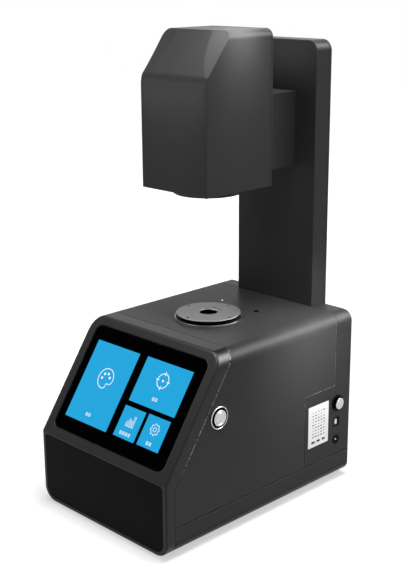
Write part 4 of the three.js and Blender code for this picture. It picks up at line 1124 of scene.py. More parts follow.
def make_main_shell():
    ring = cut(
        prism(base_section(0), "y", FRONT, REAR),
        prism(base_section(WALL), "y", FRONT - OVERRUN, REAR + OVERRUN),
    )
    high = BASE_TOP + OVERRUN
    top_rear = COLUMN_FRONT - FIT_GAP
    side = wide_prism([
        (FRAME_BACK + FIT_GAP, PAN_TOP + SHADOW_GAP),
        (SEAM_LOWER, PAN_TOP + SHADOW_GAP),
        (SEAM_LOWER, SEAM_STEP),
        (SEAM_UPPER, SEAM_STEP),
        (SEAM_UPPER, BASE_TOP - TOP_CORNER),
        (top_rear, BASE_TOP),
        (top_rear, high),
        (slope_y(high) + FRAME_SPAN + FIT_GAP, high),
        (FRAME_BACK + FIT_GAP, FRAME_KNEE),
    ])
    shell = kept_within(ring, side)
    cut(
        shell,
        top_hole(FLANGE_NECK_RADIUS, PORT),
        top_hole(BUSH_RADIUS, BUSH),
        side_hole(TEST_THREAD_RADIUS, node_middle("test_button_cap")),
    )
    # The rounded seam edges carry a painted highlight in pale broken stretches on their upper part
    finished(
        eased(shell, MAIN_SEAM_ROUND, separate_edges=True), "painted_main_shell", PAINT,
        ["main_shell"], edge=SEAM_EDGE_PAINTED_HIGHLIGHT)


def make_rear_shell():
    shell = kept_within(prism(base_section(0), "y", SEAM_LOWER, REAR), base_plan(0), base_side(0))
    hollow = kept_within(
        prism(base_section(WALL), "y", SEAM_LOWER - OVERRUN, REAR - WALL),
        base_plan(WALL),
        base_side(WALL),
    )
    high = BASE_TOP + OVERRUN
    back = REAR + OVERRUN
    side = wide_prism([
        (SEAM_LOWER + FIT_GAP, PAN_TOP + SHADOW_GAP),
        (back, PAN_TOP + SHADOW_GAP),
        (back, high),
        (COLUMN_FRONT, high),
        (COLUMN_FRONT, BASE_TOP),
        (SEAM_UPPER + FIT_GAP, BASE_TOP - TOP_CORNER),
        (SEAM_UPPER + FIT_GAP, SEAM_STEP - FIT_GAP),
        (SEAM_LOWER + FIT_GAP, SEAM_STEP - FIT_GAP),
    ])
    notch_foot = BASE_FOOT + 60
    notch_half = COLUMN_HALF + FIT_GAP
    notch = block(-notch_half, notch_half, SEAM_UPPER, back, notch_foot, high)
    usb_low, usb_high = node_box("usb_socket")
    usb_hole = block(
        HALF_WIDTH - TOP_CORNER,
        HALF_WIDTH + OVERRUN,
        usb_low.y - FIT_GAP,
        usb_high.y + FIT_GAP,
        usb_low.z - FIT_GAP,
        usb_high.z + FIT_GAP,
    )
    cut(shell, hollow)
    kept_within(shell, side)
    cut(
        shell,
        notch,
        side_hole(POWER_THREAD_RADIUS, node_middle("power_button_cap")),
        side_hole(JACK_RADIUS, node_middle("dc_jack")),
        usb_hole,
    )
    finished(
        eased(shell, SEAM_ROUND), "painted_rear_shell", PAINT_WITH_PAINTED_FOOT_SHADE, ["rear_shell"])


def panel_outline(margin):
    foot_radius, top_radius = LOW_CORNER - 5, 4
    return round_box(
        PANEL_LOW.x - margin,
        PANEL_HIGH.x + margin,
        PANEL_LOW.z - margin,
        PANEL_HIGH.z + margin,
        foot_radius,
        top_radius,
    )


SCREEN = Matrix.Translation((0, FRONT, KNEE)) @ Matrix.Rotation(SLOPE, 4, "X")
GLASS_HALF = HALF_WIDTH - 13
GLASS_LOW = 10
GLASS_TOP_MARGIN = 10.7
GLASS_HIGH = (BASE_TOP - KNEE) / math.sin(SLOPE) - GLASS_TOP_MARGIN
GLASS_CORNER = 10
GLASS_INSET = 0.8
GLASS_THICKNESS = 2.5
GLASS_LEDGE = 6


def glass_outline(margin):
    radius = GLASS_CORNER + margin
    half, low, high = GLASS_HALF + margin, GLASS_LOW - margin, GLASS_HIGH + margin
    return round_box(-half, half, low, high, radius, radius)


def faces_user(face):
    """True on the frame's upright face and on its slanted face."""
    aligned = 0.999
    outward = Vector((0, -math.sin(SLOPE), math.cos(SLOPE)))
    return face.normal.dot(outward) > aligned or face.normal.y < -aligned


def make_front_frame():
    low, high = BASE_FOOT - OVERRUN, BASE_TOP + OVERRUN
    side = wide_prism([
        (FRONT, low),
        (FRAME_BACK, low),
        (FRAME_BACK, FRAME_KNEE),
        (slope_y(high) + FRAME_SPAN, high),
        (slope_y(high), high),
        (FRONT, KNEE),
    ])
    shell = kept_within(side, prism(base_section(0), "y", FRONT - SHORT_OVERRUN, REAR))
    tidied(shell)
    rim_rounded(
        shell, FRAME_ROUND, 5,
        lambda edge: any(faces_user(face) for face in edge.link_faces),
    )
    panel_depth = PANEL_HIGH.y - FRONT + FIT_GAP
    pocket = prism(panel_outline(FIT_GAP), "y", FRONT - OVERRUN, FRONT + panel_depth)
    inside = kept_within(
        prism(base_section(FRAME_RIM), "y", FRONT + panel_depth + WALL, FRAME_BACK + OVERRUN),
        wide_block(FRONT, REAR, BASE_FOOT, FRAME_KNEE - FRAME_RIM),
    )
    seat_foot = -GLASS_INSET - GLASS_THICKNESS - SEAT_GAP
    seat = moved(prism(glass_outline(FIT_GAP), "z", seat_foot, OVERRUN), SCREEN)
    window = moved(prism(glass_outline(-GLASS_LEDGE), "z", -FRAME_SPAN - OVERRUN, OVERRUN), SCREEN)
    cut(shell, pocket, inside, seat, window)
    finished(eased(shell, 0.35), "moulded_front_frame", FRAME_PLASTIC, ["front_frame"])


def make_lower_panel():
    panel = prism(panel_outline(0), "y", PANEL_LOW.y, PANEL_HIGH.y)
    finished(eased(panel, 0.5), "gloss_lower_panel", GLOSS_PANEL, ["lower_front_panel"])


# Screen: cover glass, lit tiles and plain icons, drawn up the slope from the knee

TILE_RAISE = 0.12
ICON_STEPS = 40


def screen_plate(loop, low, high):
    return moved(prism(loop, "z", low - GLASS_INSET, high - GLASS_INSET), SCREEN)


def make_screen_glass():
    glass = prism(glass_outline(0), "z", -GLASS_INSET - GLASS_THICKNESS, -GLASS_INSET)
    eased(glass, 0.5, separate_edges=True)
    finished(
        moved(glass, SCREEN), "dark_cover_glass", COVER_GLASS, ["screen_glass"],
        edge=GLASS_EDGE)


def ribbon(points, width, closed=False):
    """Loops of a flat line of even width along points; a closed line gives an outer and an inner loop."""
    count = len(points)
    left, right = [], []
    for at, point in enumerate(points):
        ahead = Vector(points[(at + 1) % count if closed else min(at + 1, count - 1)])
        behind = Vector(points[at - 1 if closed else max(at - 1, 0)])
        along = (ahead - behind).normalized()
        side = Vector((-along.y, along.x)) * width / 2
        left.append(tuple(Vector(point) + side))
        right.append(tuple(Vector(point) - side))
    if closed:
        return left, right
    return left + right[::-1], None


def loop_area(loop):
    """Twice the area inside a loop, to compare loops by."""
    return abs(sum(a[0] * b[1] - b[0] * a[1] for a, b in zip(loop, loop[1:] + loop[:1])))


def icon_line(points, width=0.9, closed=False):
    outer, inner = ribbon(points, width, closed)
    low, high = TILE_RAISE / 2, 2 * TILE_RAISE
    if not closed:
        return screen_plate(outer, low, high)
    if loop_area(inner) > loop_area(outer):
        outer, inner = inner, outer
    return cut(
        screen_plate(outer, low, high),
        screen_plate(inner, low - SHORT_OVERRUN, high + SHORT_OVERRUN),
    )


def icon_dot(x, y, radius):
    return screen_plate(circle(radius, x, y, 16), TILE_RAISE / 2, 2 * TILE_RAISE)


def gathered(pieces):
    """One object from several that don't touch."""
    bm = bmesh.new()
    for piece in pieces:
        bm.from_mesh(piece.data)
        bpy.data.meshes.remove(piece.data)
    mesh = bpy.data.meshes.new("piece")
    bm.to_mesh(mesh)
    bm.free()
    whole = bpy.data.objects.new("piece", mesh)
    bpy.context.scene.collection.objects.link(whole)
    return whole


def palette_icon(x, y, radius):
    """A round paint palette with a bay at its lower right and four wells."""
    bay_angle, bay_width, bay_depth = 1.72 * math.pi, 0.34, 0.42
    well_reach, well_radius = 0.52 * radius, 0.13 * radius
    outline = []
    for step in range(ICON_STEPS):
        angle = 2 * math.pi * step / ICON_STEPS
        bay = math.exp(-((angle - bay_angle) / bay_width) ** 2)
        outline.append(polar(x, y, radius * (1 - bay_depth * bay), angle))
    wells = [
        icon_dot(*polar(x, y, well_reach, math.radians(angle)), well_radius)
        for angle in (20, 75, 130, 185)
    ]
    return [icon_line(outline, closed=True)] + wells


def crosshair_icon(x, y, radius):
    """A ring with a dot in its middle and four ticks across it."""
    dot_radius, tick_start, tick_end = 0.16 * radius, 0.72 * radius, 1.3 * radius
    marks = [icon_line(circle(radius, x, y, ICON_STEPS), closed=True), icon_dot(x, y, dot_radius)]
    for turn in range(4):
        angle = turn * math.pi / 2
        marks.append(icon_line([polar(x, y, tick_start, angle), polar(x, y, tick_end, angle)]))
    return marks


def bars_icon(x, y, size):
    """Four outlined bars on a line."""
    height_shares = (0.35, 0.65, 0.5, 0.95)
    base_line, bar_line, bar_gap = 0.6, 0.5, 0.9
    step = size / len(height_shares)
    half = 0.3 * step
    bars = [icon_line([(x - size / 2, y - size / 2), (x + size / 2, y - size / 2)], base_line)]
    for at, share in enumerate(height_shares):
        middle = x - size / 2 + (at + 0.5) * step
        foot = y - size / 2 + bar_gap
        head = foot + share * size
        left, right = middle - half, middle + half
        corners = [(left, foot), (right, foot), (right, head), (left, head)]
        bars.append(icon_line(corners, bar_line, closed=True))
    return bars


def gear_icon(x, y, radius):
    """A gear with square teeth and a round hole."""
    teeth, steps_per_tooth, hole_steps = 8, 8, 24
    root_share, hole_share, line = 0.8, 0.36, 0.6
    steps = teeth * steps_per_tooth
    outline = []
    for step in range(steps):
        on_tooth = step % steps_per_tooth < steps_per_tooth // 2
        reach = radius * (1.0 if on_tooth else root_share)
        outline.append(polar(x, y, reach, 2 * math.pi * step / steps))
    return [
        icon_line(outline, line, closed=True),
        icon_line(circle(hole_share * radius, x, y, hole_steps), line, closed=True),
    ]


def caption_blocks(x, y, count):
    """A row of plain blocks, each of three short bars, where a tile's words would be."""
    pitch, width, bar_step, bar_width = 4.6, 3.4, 1.4, 0.75
    bars = []
    for at in range(count):
        middle = x + (at - (count - 1) / 2) * pitch
        for row in (-1, 0, 1):
            height = y + row * bar_step
            ends = [(middle - width / 2, height), (middle + width / 2, height)]
            bars.append(icon_line(ends, bar_width))
    return bars


def make_screen_display():
    """Four lit tiles, each given by its left, right, low and high edges, with an icon and a caption."""
    corner, corner_steps = 0.6, 4
    tiles = [
        (-82, -9, 27, 123),
        (4, 78, 70, 123.5),
        (3, 37, 28, 64),
        (42, 76.3, 28.5, 64.5),
    ]
    loops = [round_box(*tile, corner, corner, corner_steps) for tile in tiles]
    plates = [screen_plate(loop, 0, TILE_RAISE) for loop in loops]
    finished(gathered(plates), "lit_tiles", LIT_BLUE)
    icons = (
        palette_icon(-44.5, 83, 12)
        + crosshair_icon(40.7, 103, 8.4)
        + bars_icon(20.8, 49, 13)
        + gear_icon(59, 50.5, 6.6)
        + caption_blocks(-46.7, 37.5, 2)
        + caption_blocks(40.4, 80.8, 2)
        + caption_blocks(19.4, 33.7, 4)
        + caption_blocks(58.5, 34.1, 2)
    )
    finished(gathered(icons), "lit_icons", LIT_WHITE)


# Sample port

FLANGE_LOW, FLANGE_HIGH = node_box("port_flange")
PLATE_LOW, PLATE_HIGH = node_box("port_plate")
PLATE_RADIUS = (PLATE_HIGH.x - PLATE_LOW.x) / 2
FLANGE_RADIUS = (FLANGE_HIGH.x - FLANGE_LOW.x) / 2
FLANGE_NECK_RADIUS = PLATE_RADIUS - 0.7
BUSH_LOW, BUSH_HIGH = node_box("fixture_bush")
BUSH_RADIUS = (BUSH_HIGH.x - BUSH_LOW.x) / 2
PORT_SCREW_CIRCLE = PLATE_RADIUS - 4.4
PORT_SCREW_HEAD = 1.9
PORT_SCREW_SHANK = 1.2
PORT_SCREW_COUNT = 4


def port_screw_places():
    """Where the screws sit about the port's middle."""
    turns = (2 * math.pi * number / PORT_SCREW_COUNT for number in range(PORT_SCREW_COUNT))
    return [polar(0, 0, PORT_SCREW_CIRCLE, turn) for turn in turns]


def screw_hole(place, radius, steps, low, high):
    loop = circle(radius + FIT_GAP, *place, steps)
    return prism(loop, "z", low, high + SHORT_OVERRUN)


def make_port_plate():
    low, high = PLATE_LOW.z, PLATE_HIGH.z
    chamfer, chamfer_round, seat_depth = 0.9, 0.15, 1.75
    plate = turned(rounded([
        (APERTURE_RADIUS, low, 0),
        (PLATE_RADIUS, low, 0),
        (PLATE_RADIUS, high, chamfer),
        (APERTURE_RADIUS + chamfer, high, chamfer_round),
        (APERTURE_RADIUS, high - chamfer, chamfer_round),
    ], 4))
    cutters = []
    for place in port_screw_places():
        cutters.append(screw_hole(place, PORT_SCREW_SHANK, SCREW_STEPS, low - SHORT_OVERRUN, high))
        cutters.append(screw_hole(place, PORT_SCREW_HEAD, HOLE_STEPS, high - seat_depth, high))
    cut(plate, *cutters)
    eased(plate, PLATE_EDGE_ROUND, 2)
    finished(
        shifted(plate, PORT.x, PORT.y, 0), "anodised_port_plate", ANODISED,
        ["port_plate"])


def make_port_flange():
    low, high = FLANGE_LOW.z, FLANGE_HIGH.z
    bore_margin, lip_height, lip_round = 2.5, 0.9, 0.45
    bore = APERTURE_RADIUS + bore_margin
    lip = high - lip_height
    flange = turned(rounded([
        (bore, low, 0),
        (FLANGE_NECK_RADIUS, low, 0),
        (FLANGE_NECK_RADIUS, lip, 0),
        (FLANGE_RADIUS, lip, 0),
        (FLANGE_RADIUS, high, lip_round),
        (bore, high, 0),
    ], 4))
    cutters = [
        screw_hole(place, PORT_SCREW_SHANK, SCREW_STEPS, low - SHORT_OVERRUN, high)
        for place in port_screw_places()
    ]
    cut(flange, *cutters)
    finished(
        shifted(eased(flange, 0), PORT.x, PORT.y, 0),
        "bright_port_flange", RING_STEEL, ["port_flange"])


def make_port_screws():
    low, high = node_box("port_screw_1")
    head_height = 1.5
    shank_length = high.z - low.z - head_height
    screw = socket_screw(PORT_SCREW_HEAD, head_height, PORT_SCREW_SHANK, shank_length)
    place = Matrix.Translation((PORT.x, PORT.y, high.z - head_height))
    repeated(
        screw, RING_PATTERN, BLACKENED_STEEL, place,
        count=PORT_SCREW_COUNT, radius=PORT_SCREW_CIRCLE, most_turn=math.pi)
    nodes = [f"port_screw_{number + 1}" for number in range(PORT_SCREW_COUNT)]
    finished(screw, "port_screws", BLACKENED_STEEL, nodes)


def make_fixture_bush():
    wall, depth, chamfer = 0.4, 6, 0.15
    bore = BUSH_RADIUS - wall
    low, high = BUSH_LOW.z, BUSH_HIGH.z
    turned_piece([
        (0, low, 0),
        (BUSH_RADIUS, low, 0),
        (BUSH_RADIUS, high, 0.3),
        (bore + chamfer, high, 0.05),
        (bore, high - chamfer, 0.05),
        (bore, high - depth, 0),
        (0, high - depth, 0),
    ], "z", BUSH, "threaded_bush", DARK_BRASS, ["fixture_bush"],
        arc_steps=3, steps=SMALL_TURN_STEPS)


def make_port_marks():
    """Three short engraved index dashes on the plate."""
    dash_width, depth, proud = 1.9, 0.2, 0.02
    start, along = Vector((-8.8, 16.1)), Vector((1, 0.04)).normalized()
    side = Vector((-along.y, along.x)) * dash_width / 2
    low, high = PLATE_HIGH.z - depth, PLATE_HIGH.z + proud
    dashes = []
    for first, last in ((0, 6), (7.2, 9.2), (10.6, 14)):
        near, far = start + along * first, start + along * last
        corners = [near + side, near - side, far - side, far + side]
        dashes.append(prism([tuple(corner) for corner in corners], "z", low, high))
    marks = shifted(gathered(dashes), PORT.x, PORT.y, 0)
    finished(marks, "plate_index_marks", DARK_INK)


def make_shell_screw():
    """The small screw in the shell beside the port."""
    from_port = Vector((-33.5, 57.6, 0))
    head_radius, head_height, head_round = 1.5, 0.9, 0.6
    shank_radius, shank_length = 0.8, 2
    turned_piece([
        (0, BASE_TOP - shank_length, 0),
        (shank_radius, BASE_TOP - shank_length, 0),
        (shank_radius, BASE_TOP, 0),
        (head_radius, BASE_TOP, 0),
        (head_radius, BASE_TOP + head_height, head_round),
        (0, BASE_TOP + head_height, 0),
    ], "z", PORT + from_port, "small_shell_screw", BRIGHT_STEEL, steps=SCREW_STEPS)


# Buttons on the right side, turned about X and seated on the casing's side

SIDE_FACE = HALF_WIDTH + SEAT_GAP
STEM_RADIUS = 3
STEM_BORE = STEM_RADIUS + FIT_GAP
STEM_REACH = 14
BUTTON_TRAVEL = 2.8
FACE_GAP = 0.01
TEST_THREAD_RADIUS = 10.7
POWER_THREAD_RADIUS = 9
JACK_RADIUS = 5.2


def radius_of(node):
    low, high = node_box(node)
    return (high.z - low.z) / 2


def make_housing(button, thread_radius, edge, lip, name, material):
    """The fixed part of a button: its thread, bezel and lip, and the bore for its plunger."""
    low, high = node_box(f"{button}_housing")
    bezel_radius = radius_of(f"{button}_housing")
    bore = radius_of(f"{button}_cap") + FIT_GAP
    floor = node_box(f"{button}_cap")[0].x + STEM_REACH - BUTTON_TRAVEL
    turned_piece([
        (STEM_BORE, low.x, 0),
        (thread_radius, low.x, 0),
        (thread_radius, SIDE_FACE, 0),
        (bezel_radius, SIDE_FACE, 0),
        (bezel_radius, high.x, edge),
        *lip,
        (bore, floor, 0),
        (STEM_BORE, floor, 0),
    ], "x", node_middle(f"{button}_cap"), name, material, [f"{button}_housing"], arc_steps=6)


def make_test_button():
    """Steel push button: bezel, dark ring, and a cap with a turned centre."""
    bezel_wall, bezel_edge, mouth_round, ring_seat = 1.2, 0.9, 0.5, 0.3
    middle = node_middle("test_button_cap")
    cap_top = node_box("test_button_cap")[1].x
    cap_radius = radius_of("test_button_cap")
    bore = cap_radius + FIT_GAP
    mouth = radius_of("test_button_housing") - bezel_wall
    lip = [
        (mouth, node_box("test_button_housing")[1].x, mouth_round),
        (mouth, SIDE_FACE + ring_seat, 0),
        (bore, SIDE_FACE + ring_seat, 0),
    ]
    make_housing(
        "test_button", TEST_THREAD_RADIUS, bezel_edge, lip,
        "turned_test_button_housing", BRIGHT_STEEL)
    ring_low, ring_high, ring_round = SIDE_FACE + 0.35, SIDE_FACE + 0.9, 0.2
    ring_radius = mouth - SEAT_GAP
    turned_piece([
        (bore, ring_low, 0),
        (ring_radius, ring_low, 0),
        (ring_radius, ring_high, ring_round),
        (bore, ring_high, ring_round),
    ], "x", middle, "test_button_light_ring", BLACK_PLASTIC, arc_steps=3)
    face_thickness, rim_drop, rim_round, groove, groove_round = 0.7, 0.1, 0.35, 0.35, 0.1
    make_plunger("test_button", face_thickness)
    face_low = cap_top - face_thickness + FACE_GAP
    face_radius = cap_radius - 0.15
    disc = 0.74 * cap_radius
    turned_piece([
        (0, face_low, 0),
        (face_radius, face_low, 0),
        (face_radius, cap_top - rim_drop, rim_round),
        (disc + groove, cap_top - rim_drop, groove_round),
        (disc, cap_top - groove, groove_round),
        (disc - groove, cap_top, groove_round),
        (0, cap_top, 0),
    ], "x", middle, "test_button_face", TEST_STEEL, (), "test_button")


def make_plunger(button, face_thickness):
    """The black moving part of a button, under its steel face."""
    low, high = node_box(f"{button}_cap")
    radius = radius_of(f"{button}_cap")
    shoulder, top = low.x + STEM_REACH, high.x - face_thickness
    turned_piece([
        (0, low.x, 0),
        (STEM_RADIUS, low.x, 0.4),
        (STEM_RADIUS, shoulder, 0),
        (radius, shoulder, 0),
        (radius, top, 0.5),
        (0, top, 0),
    ], "x", node_middle(f"{button}_cap"), f"{button}_plunger", GLOSS_BLACK,
        [f"{button}_cap"], button)


def make_power_button():
    """Black push button with a steel face on its black plunger."""
    bezel_edge, mouth_round = 0.5, 0.25
    face_inset, face_thickness, face_round = 0.5, 0.6, 0.3
    cap_top = node_box("power_button_cap")[1].x
    cap_radius = radius_of("power_button_cap")
    lip = [(cap_radius + FIT_GAP, node_box("power_button_housing")[1].x, mouth_round)]
    make_housing(
        "power_button", POWER_THREAD_RADIUS, bezel_edge, lip,
        "moulded_power_button_housing", BLACK_PLASTIC)
    make_plunger("power_button", face_thickness)
    face_low = cap_top - face_thickness + FACE_GAP
    face_radius = cap_radius - face_inset
    turned_piece([
        (0, face_low, 0),
        (face_radius, face_low, 0),
        (face_radius, cap_top, face_round),
        (0, cap_top, 0),
    ], "x", node_middle("power_button_cap"), "power_button_face", POWER_STEEL, (),
        "power_button")


# Sockets and rating plate

def make_usb_socket():
    low, high = node_box("usb_socket")
    middle = (low + high) / 2
    wall, depth, corner_steps = 1.5, 11, 4
    body = prism(
        round_box(low.y, high.y, low.z, high.z, 0.8, 2.2, corner_steps), "x", low.x, high.x)
    opening = prism(
        round_box(
            low.y + wall, high.y - wall, low.z + wall, high.z - wall, 0.4, 1.8, corner_steps),
        "x", high.x - depth, high.x + OVERRUN)
    finished(
        eased(cut(body, opening), 0.2, 2), "usb_socket_body", BLACK_PLASTIC,
        ["usb_socket"])
    half_width, half_height, root = 1.75, 3.2, 12
    tip = high.x - 0.2
    tongue = block(
        high.x - root,
        tip,
        middle.y - half_width,
        middle.y + half_width,
        middle.z - half_height,
        middle.z + half_height,
    )
    finished(eased(tongue, 0.25, 2), "usb_tongue", LABEL_PAPER)
    drawn_scale = 0.5
    contact = eased(slab(0.6, 2.8, 0.15), 0)
    place = facing(Vector((tip, middle.y, middle.z)), "x")
    repeated(
        contact, GRID_PATTERN, BRASS, place @ Matrix.Scale(drawn_scale, 4),
        columns=2, rows=2, size_x=4.4, size_y=8)
    finished(contact, "usb_contacts", BRASS)


def make_dc_jack():
    low, high = node_box("dc_jack")
    middle = (low + high) / 2
    lip_radius = radius_of("dc_jack")
    bore, depth = 3.2, 9
    pin_radius, pin_gap, pin_drop, pin_round = 1.3, 0.05, 0.1, 0.5
    turned_piece([
        (0, low.x, 0),
        (JACK_RADIUS, low.x, 0),
        (JACK_RADIUS, SIDE_FACE, 0),
        (lip_radius, SIDE_FACE, 0),
        (lip_radius, high.x, 0.35),
        (bore, high.x, 0.3),
        (bore, SIDE_FACE - depth, 0),
        (0, SIDE_FACE - depth, 0),
    ], "x", middle, "dc_jack_body", BLACK_PLASTIC, ["dc_jack"],
        arc_steps=4, steps=SMALL_TURN_STEPS)
    pin_low, pin_high = SIDE_FACE - (depth - pin_gap), SIDE_FACE - pin_drop
    turned_piece([
        (0, pin_low, 0),
        (pin_radius, pin_low, 0),
        (pin_radius, pin_high, pin_round),
        (0, pin_high, 0),
    ], "x", middle, "dc_jack_pin", SCREW_STEEL, arc_steps=4, steps=SCREW_STEPS)


def make_rating_label():
    """A white plate with plain dashes and bars where its words and marks would be."""
    low, high = node_box("rating_label")
    middle = (low + high) / 2
    corner, corner_steps, ink = 1, 6, 0.05
    rules_above_middle, bars_above_foot = 2, 6
    outline = round_box(low.y, high.y, low.z, high.z, corner, corner, corner_steps)
    plate = eased(prism(outline, "x", low.x, high.x), 0.06, 2)
    finished(plate, "blank_rating_plate", LABEL_PAPER, ["rating_label"])
    rule = slab(3.8, 1.1, ink)
    place = facing(Vector((high.x, middle.y, middle.z + rules_above_middle)), "x")
    repeated(
        rule, GRID_PATTERN, LABEL_INK, place,
        columns=5, rows=9, size_x=20, size_y=31, least_length=0.25)
    finished(rule, "label_rules", LABEL_INK)
    bar = slab(6.4, 2.6, ink)
    place = facing(Vector((high.x, middle.y, low.z + bars_above_foot)), "x")
    repeated(
        bar, GRID_PATTERN, DARK_INK, place,
        columns=3, rows=1, size_x=19, size_y=0, least_length=0.8)
    finished(bar, "label_bars", DARK_INK)


# Column, arm and head

HEAD_LOW, HEAD_HIGH = node_box("head_cover")
HEAD_REAR = node_box("head_rear_plate")[1].y
HEAD_HALF = HEAD_HIGH.x
HEAD_FRONT = HEAD_LOW.y
HEAD_FOOT = HEAD_LOW.z
HEAD_TOP = HEAD_HIGH.z
HEAD_SLOPE_DROP = 51.2
HEAD_SLOPE_RUN = 36
HEAD_KNEE = HEAD_TOP - HEAD_SLOPE_DROP
HEAD_CORNER = 10
HEAD_KNEE_ROUND = 26
HEAD_WALL = 3
HEAD_SLANT = math.atan2(HEAD_SLOPE_DROP, HEAD_SLOPE_RUN)
COLUMN_CORNER = 13
CABLE_HOLE = 8
ARM_MIDDLE = node_middle("head_arm").z


def cable_hole(near, far):
    """Cutter for the lamp cable's way through a wall, from near to far along Y."""
    loop = circle(CABLE_HOLE, 0, ARM_MIDDLE, HOLE_STEPS)
    return prism(loop, "y", near - OVERRUN, far + OVERRUN)


def column_outline(inset, foot):
    half = COLUMN_HALF - inset
    return round_box(-half, half, foot, COLUMN_HIGH.z - inset, 0, COLUMN_CORNER - inset)


def make_column():
    wall = 2.5
    back = COLUMN_HIGH.y
    cover = cut(
        prism(column_outline(0, COLUMN_LOW.z), "y", COLUMN_FRONT, back),
        prism(
            column_outline(wall, COLUMN_LOW.z - OVERRUN), "y", COLUMN_FRONT + wall, back + OVERRUN),
        cable_hole(COLUMN_FRONT, COLUMN_FRONT + wall),
    )
    finished(eased(cover, 0.8), "painted_column_cover", PAINT, ["column_front_cover"])


def make_column_rear():
    """The column's rear cover and the screws that hold it."""
    low, high = node_box("column_rear_cover")
    head_radius, head_height, shank_radius, shank_length = 3, 1.5, 1.5, 1.2
    inset, margin, seat_depth, under_head = 9, 14, 1.6, 0.1
    rows = 4
    screw_low, screw_high = low.z + margin, high.z - margin
    seat = high.y - seat_depth
    plate = prism(column_outline(0, low.z), "y", low.y, high.y)
    holes = []
    for row in range(rows):
        height = screw_low + (screw_high - screw_low) * row / (rows - 1)
        for x in (-COLUMN_HALF + inset, COLUMN_HALF - inset):
            loop = circle(head_radius + FIT_GAP, x, height, HOLE_STEPS)
            holes.append(prism(loop, "y", seat - under_head, high.y + OVERRUN))
    cut(plate, *holes)
    finished(
        eased(plate, 0.5, 2), "painted_column_rear_cover", PAINT,
        ["column_rear_cover"])
    screw = socket_screw(head_radius, head_height, shank_radius, shank_length)
    place = facing(Vector((0, seat, (screw_low + screw_high) / 2)), "y")
    repeated(
        screw, GRID_PATTERN, BLACKENED_STEEL, place,
        columns=2, rows=rows, size_x=2 * (COLUMN_HALF - inset), size_y=screw_high - screw_low,
        most_turn=math.pi)
    finished(screw, "column_screws", BLACKENED_STEEL)


def make_arm():
    low, high = node_box("head_arm")
    wall, end_wall = 3, 4
    inset = Vector((wall, end_wall, wall))
    arm = cut(
        block_between(low, high),
        block_between(low + inset, high - inset),
        cable_hole(low.y, high.y),
    )
    finished(eased(arm, 0.7), "painted_head_arm", PAINT, ["head_arm"])
    low, high = node_box("arm_front_plate")
    plate = eased(cut(block_between(low, high), cable_hole(low.y, high.y)), 0.2, 2)
    finished(plate, "bright_arm_plate", SCREW_STEEL, ["arm_front_plate"])


def head_slant_y(height, inset):
    return HEAD_FRONT + (height - HEAD_KNEE) / math.tan(HEAD_SLANT) + inset / math.sin(HEAD_SLANT)


def head_side(inset, slant_inset, foot, rear):
    """The head's outline seen from the side."""
    front, high = HEAD_FRONT + inset, HEAD_TOP - inset
    knee = HEAD_KNEE + (inset - slant_inset / math.sin(HEAD_SLANT)) * math.tan(HEAD_SLANT)
    return rounded([
        (front, foot, 0),
        (rear, foot, 0),
        (rear, high, 0),
        (head_slant_y(high, slant_inset), high, 0),
        (front, knee, HEAD_KNEE_ROUND),
    ])


def head_section(inset, foot):
    half = HEAD_HALF - inset
    return round_box(-half, half, foot, HEAD_TOP - inset, 0, HEAD_CORNER - inset, 24)


def head_bevel_cutter(side):
    """Cutter for the curved bevel between the slanted front and one side of the head."""
    steps = 32
    bevel_width = 24
    power = 2.4
    lean = math.radians(8)
    across = Vector((-side * math.sin(lean), math.cos(lean), 0))
    up = Vector((0, 0, 1))
    turn = Matrix((across, up, across.cross(up))).transposed().to_4x4()
    loop = []
    for step in range(steps + 1):
        share = step / steps
        inward = bevel_width * (1 - (1 - share) ** power)
        height = HEAD_KNEE + share * HEAD_SLOPE_DROP
        point = Vector((side * (HEAD_HALF - inward), head_slant_y(height, 0), 0))
        loop.append((point.dot(across), height))
    first, last = loop[0][0], loop[-1][0]
    high = HEAD_TOP + OVERRUN
    far = first - 2 * HEAD_HALF
    loop += [(last, high), (far, high), (far, HEAD_KNEE)]
    start = 0 if side > 0 else -2 * HEAD_HALF
    return moved(prism(loop, "z", start, start + 2 * HEAD_HALF), turn)


def make_head():
    slope_wall = 7
    cover = kept_within(
        prism(head_side(0, 0, HEAD_FOOT, HEAD_HIGH.y), "x", -HEAD_HALF - OVERRUN, HEAD_HALF + OVERRUN),
        prism(head_section(0, HEAD_FOOT - OVERRUN), "y", HEAD_FRONT - OVERRUN, HEAD_REAR),
    )
    hollow = kept_within(
        prism(
            head_side(HEAD_WALL, slope_wall, HEAD_FOOT - OVERRUN, HEAD_REAR + OVERRUN),
            "x", -HEAD_HALF, HEAD_HALF),
        prism(
            head_section(HEAD_WALL, HEAD_FOOT - 2 * OVERRUN),
            "y", HEAD_FRONT, HEAD_REAR + 2 * OVERRUN),
    )
    cut(cover, hollow, head_bevel_cutter(1), head_bevel_cutter(-1))
    finished(eased(cover, 0.7, 3, 5), "painted_head_cover", PAINT, ["head_cover"])
    low, high = node_box("head_rear_plate")
    plate = cut(prism(head_section(0, low.z), "y", low.y, high.y), cable_hole(low.y, high.y))
    finished(
        eased(plate, 0.5, 2), "painted_head_rear_plate", PAINT, ["head_rear_plate"])


